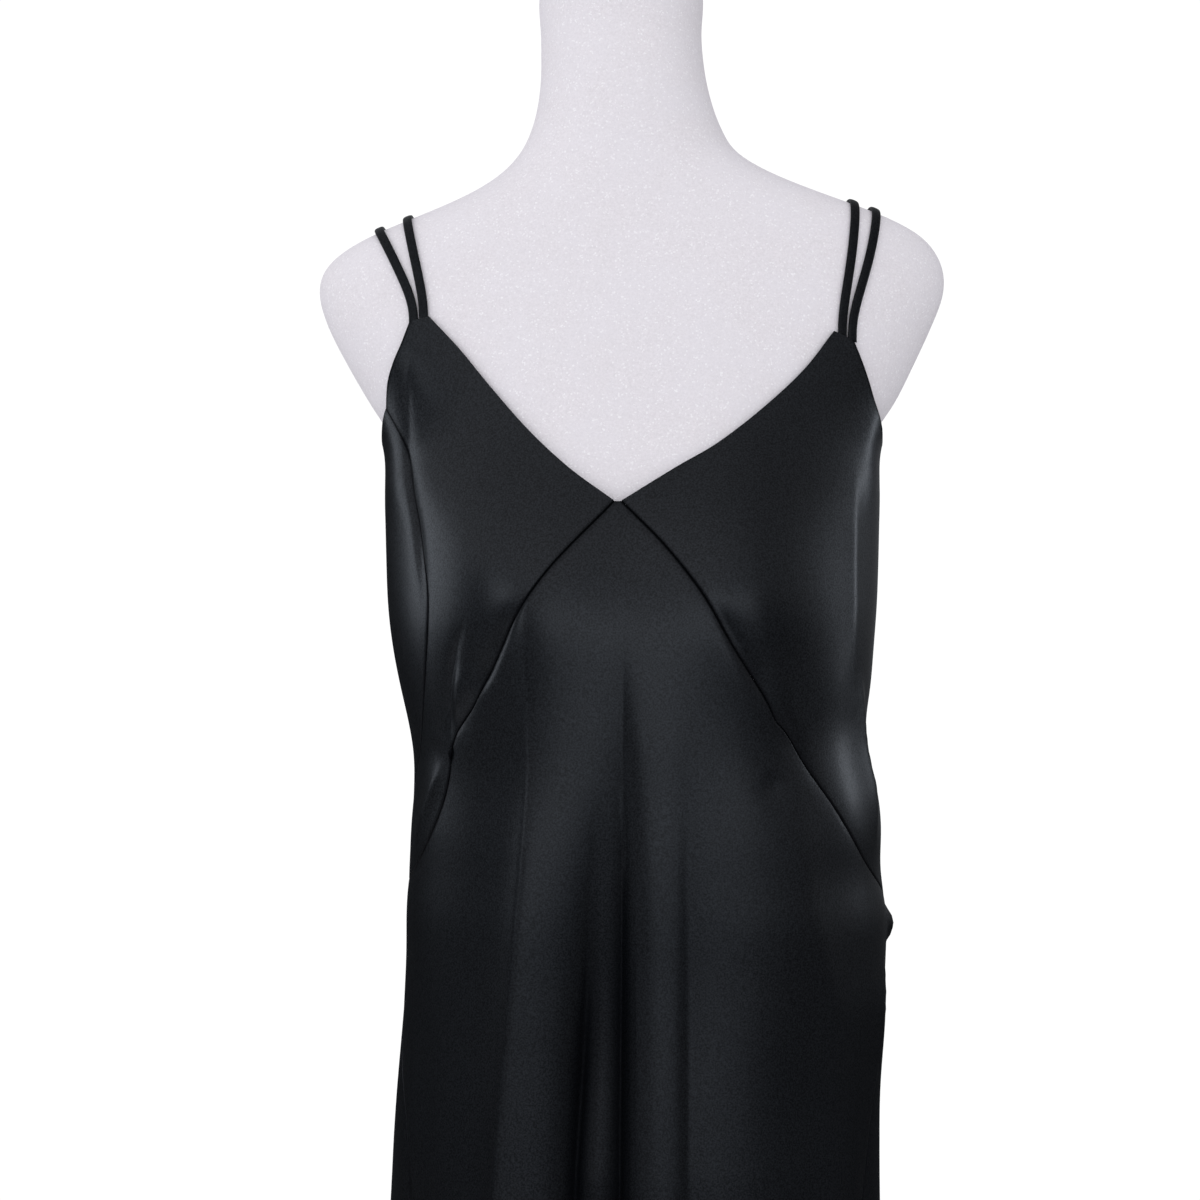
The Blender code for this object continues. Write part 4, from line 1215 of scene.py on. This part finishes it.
STRAP_SATIN = satin("black_strap_satin", 0.55)
turns = np.arange(STRAP_SIDES) / STRAP_SIDES * 2 * math.pi
wide = np.sign(np.cos(turns)) * np.abs(np.cos(turns)) ** SQUARE_ACROSS * STRAP_WIDTH / 2
tall = np.sign(np.sin(turns)) * np.abs(np.sin(turns)) ** SQUARE_UP * STRAP_THICKNESS / 2
for strap in STRAPS:
    face, out = strap_route(strap)
    centre = face + (STRAP_LIFT + STRAP_THICKNESS / 2) * out
    along = unit(np.gradient(centre, axis=0))
    across = unit(np.cross(along, out))
    up = np.cross(across, along)
    travelled = lengths_along(centre)
    puff = 1 + LONG_PUFF * np.sin(travelled / LONG_PUFF_LENGTH + strap.ridge_x)
    puff += SHORT_PUFF * np.sin(travelled / SHORT_PUFF_LENGTH)
    loops = (
        centre[:, None]
        + wide[None, :, None] * across[:, None]
        + (puff[:, None] * tall[None])[..., None] * up[:, None]
    )
    points, faces = closed_tube(loops)
    piece = mesh_piece(f"satin_{strap.node}", points, faces)
    bm = bmesh.new()
    bm.from_mesh(piece.data)
    bmesh.ops.recalc_face_normals(bm, faces=bm.faces)
    bm.to_mesh(piece.data)
    bm.free()
    piece.data.materials.append(STRAP_SATIN)
    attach(piece, "root")
    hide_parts(strap.node)

# ---------------------------------------------------------------- floor, light and camera
# A pale floor under a white studio dome that is dim low down and behind. Four softboxes
# in front and at the sides are seen only in the satin's shine.

VIEW_X, VIEW_Y, VIEW_HEIGHT = -0.0208, -1.5, 1.147
VIEW_WIDTH = 0.78  # how much of the form's plane the picture shows
FLOOR_SIZE, FLOOR_DROP = 4.4, 0.5 * MM

bpy.ops.mesh.primitive_plane_add(size=FLOOR_SIZE, location=(0, 0, -FLOOR_DROP))
floor = bpy.context.object
floor.name = "floor"
paint, _, _ = new_finish("pale_floor", Base_Color=(0.78, 0.78, 0.79, 1), Roughness=0.6)
floor.data.materials.append(paint)
floor.visible_glossy = False

world = bpy.data.worlds.new("studio")
bpy.context.scene.world = world
world.use_nodes = True
nodes, links = world.node_tree.nodes, world.node_tree.links
nodes.clear()
heading, ways = nodes.new("ShaderNodeTexCoord"), nodes.new("ShaderNodeSeparateXYZ")
links.new(heading.outputs["Generated"], ways.inputs[0])


def level(way, low, high, to_low, to_high):
    """A light level that changes smoothly with how far a direction turns along an axis."""
    return spread(world.node_tree, ways.outputs[way], low, high, to_low, to_high, "SMOOTHSTEP")


def product(first, *others):
    return joined(world.node_tree, "MULTIPLY", first, *others)


def total(first, *others):
    return joined(world.node_tree, "ADD", first, *others)


FRONT_TURN, SIDE_TURN = ("Y", -0.85, -0.6), ("X", -0.2, 0.2)

ahead = product(level(*FRONT_TURN, 1, 0), level("Z", -0.12, 0.04, 0.03, 1))
right = product(level(*SIDE_TURN, 1, 0), level("Z", 0.06, 0.28, 0.03, 1))
left = product(level(*SIDE_TURN, 0, 1), level("Z", -0.18, 0.02, 0.03, 1))
below = level("Z", -0.45, -0.22, 0.55, 0)
aside = product(level(*FRONT_TURN, 0, 1), total(right, left, below))
shine = product(
    level("X", -1, -0.3, 0.85, 1),
    level("X", -0.2, 0.8, 1, 0.42),
    level("Y", -0.2, 0.6, 1, 0.35),
    total(ahead, aside),
    level("Z", 0.35, 0.85, 1, 0.7),
)
even = product(level("Y", -1, 0.2, 1.26, 0.84), level("X", 0, 1, 1, 0.6))

seen, felt, lit = (nodes.new("ShaderNodeBackground") for _ in range(3))
set_levels(seen, Color=(1, 1, 1, 1), Strength=1.05)
set_levels(felt, Color=(0.93, 0.95, 1.0, 1))
set_levels(lit, Color=(1.0, 0.985, 1.0, 1))
links.new(shine, felt.inputs["Strength"])
links.new(even, lit.inputs["Strength"])
ray, output = nodes.new("ShaderNodeLightPath"), nodes.new("ShaderNodeOutputWorld")
soft, whole = nodes.new("ShaderNodeMixShader"), nodes.new("ShaderNodeMixShader")
links.new(ray.outputs["Is Diffuse Ray"], soft.inputs[0])
links.new(felt.outputs[0], soft.inputs[1])
links.new(lit.outputs[0], soft.inputs[2])
links.new(ray.outputs["Is Camera Ray"], whole.inputs[0])
links.new(soft.outputs[0], whole.inputs[1])
links.new(seen.outputs[0], whole.inputs[2])
links.new(whole.outputs[0], output.inputs["Surface"])
bpy.context.scene.view_settings.view_transform = "Standard"

for name, width, height, power, place, turn in (
    ("front_softbox", 1.6, 0.36, 3.8, (0.45, -1.65, 0.99), 0),
    ("right_softbox", 0.6, 0.46, 2.0, (-1.2, 0.16, 1.27), -90),
    ("right_front_softbox", 0.5, 0.3, 1.6, (-1.3, -1.1, 1.2), -50),
    ("left_softbox", 0.12, 0.5, 1.3, (1.0, 0.2, 1.28), 90),
):
    lamp = bpy.data.lights.new(name, "AREA")
    lamp.shape, lamp.size, lamp.size_y = "RECTANGLE", width, height
    lamp.energy, lamp.color = power, (0.86, 0.92, 1.0)
    softbox = new_object(name, lamp)
    softbox.location = place
    softbox.rotation_euler = (math.pi / 2, 0, math.radians(turn))
    softbox.visible_diffuse = False

camera_data = bpy.data.cameras.new("camera")
camera_data.sensor_width = 36
camera_data.lens = camera_data.sensor_width * -VIEW_Y / VIEW_WIDTH
camera = new_object("camera", camera_data)
camera.location = (VIEW_X, VIEW_Y, VIEW_HEIGHT)
camera.rotation_euler = (math.pi / 2, 0, 0)
bpy.context.scene.camera = camera
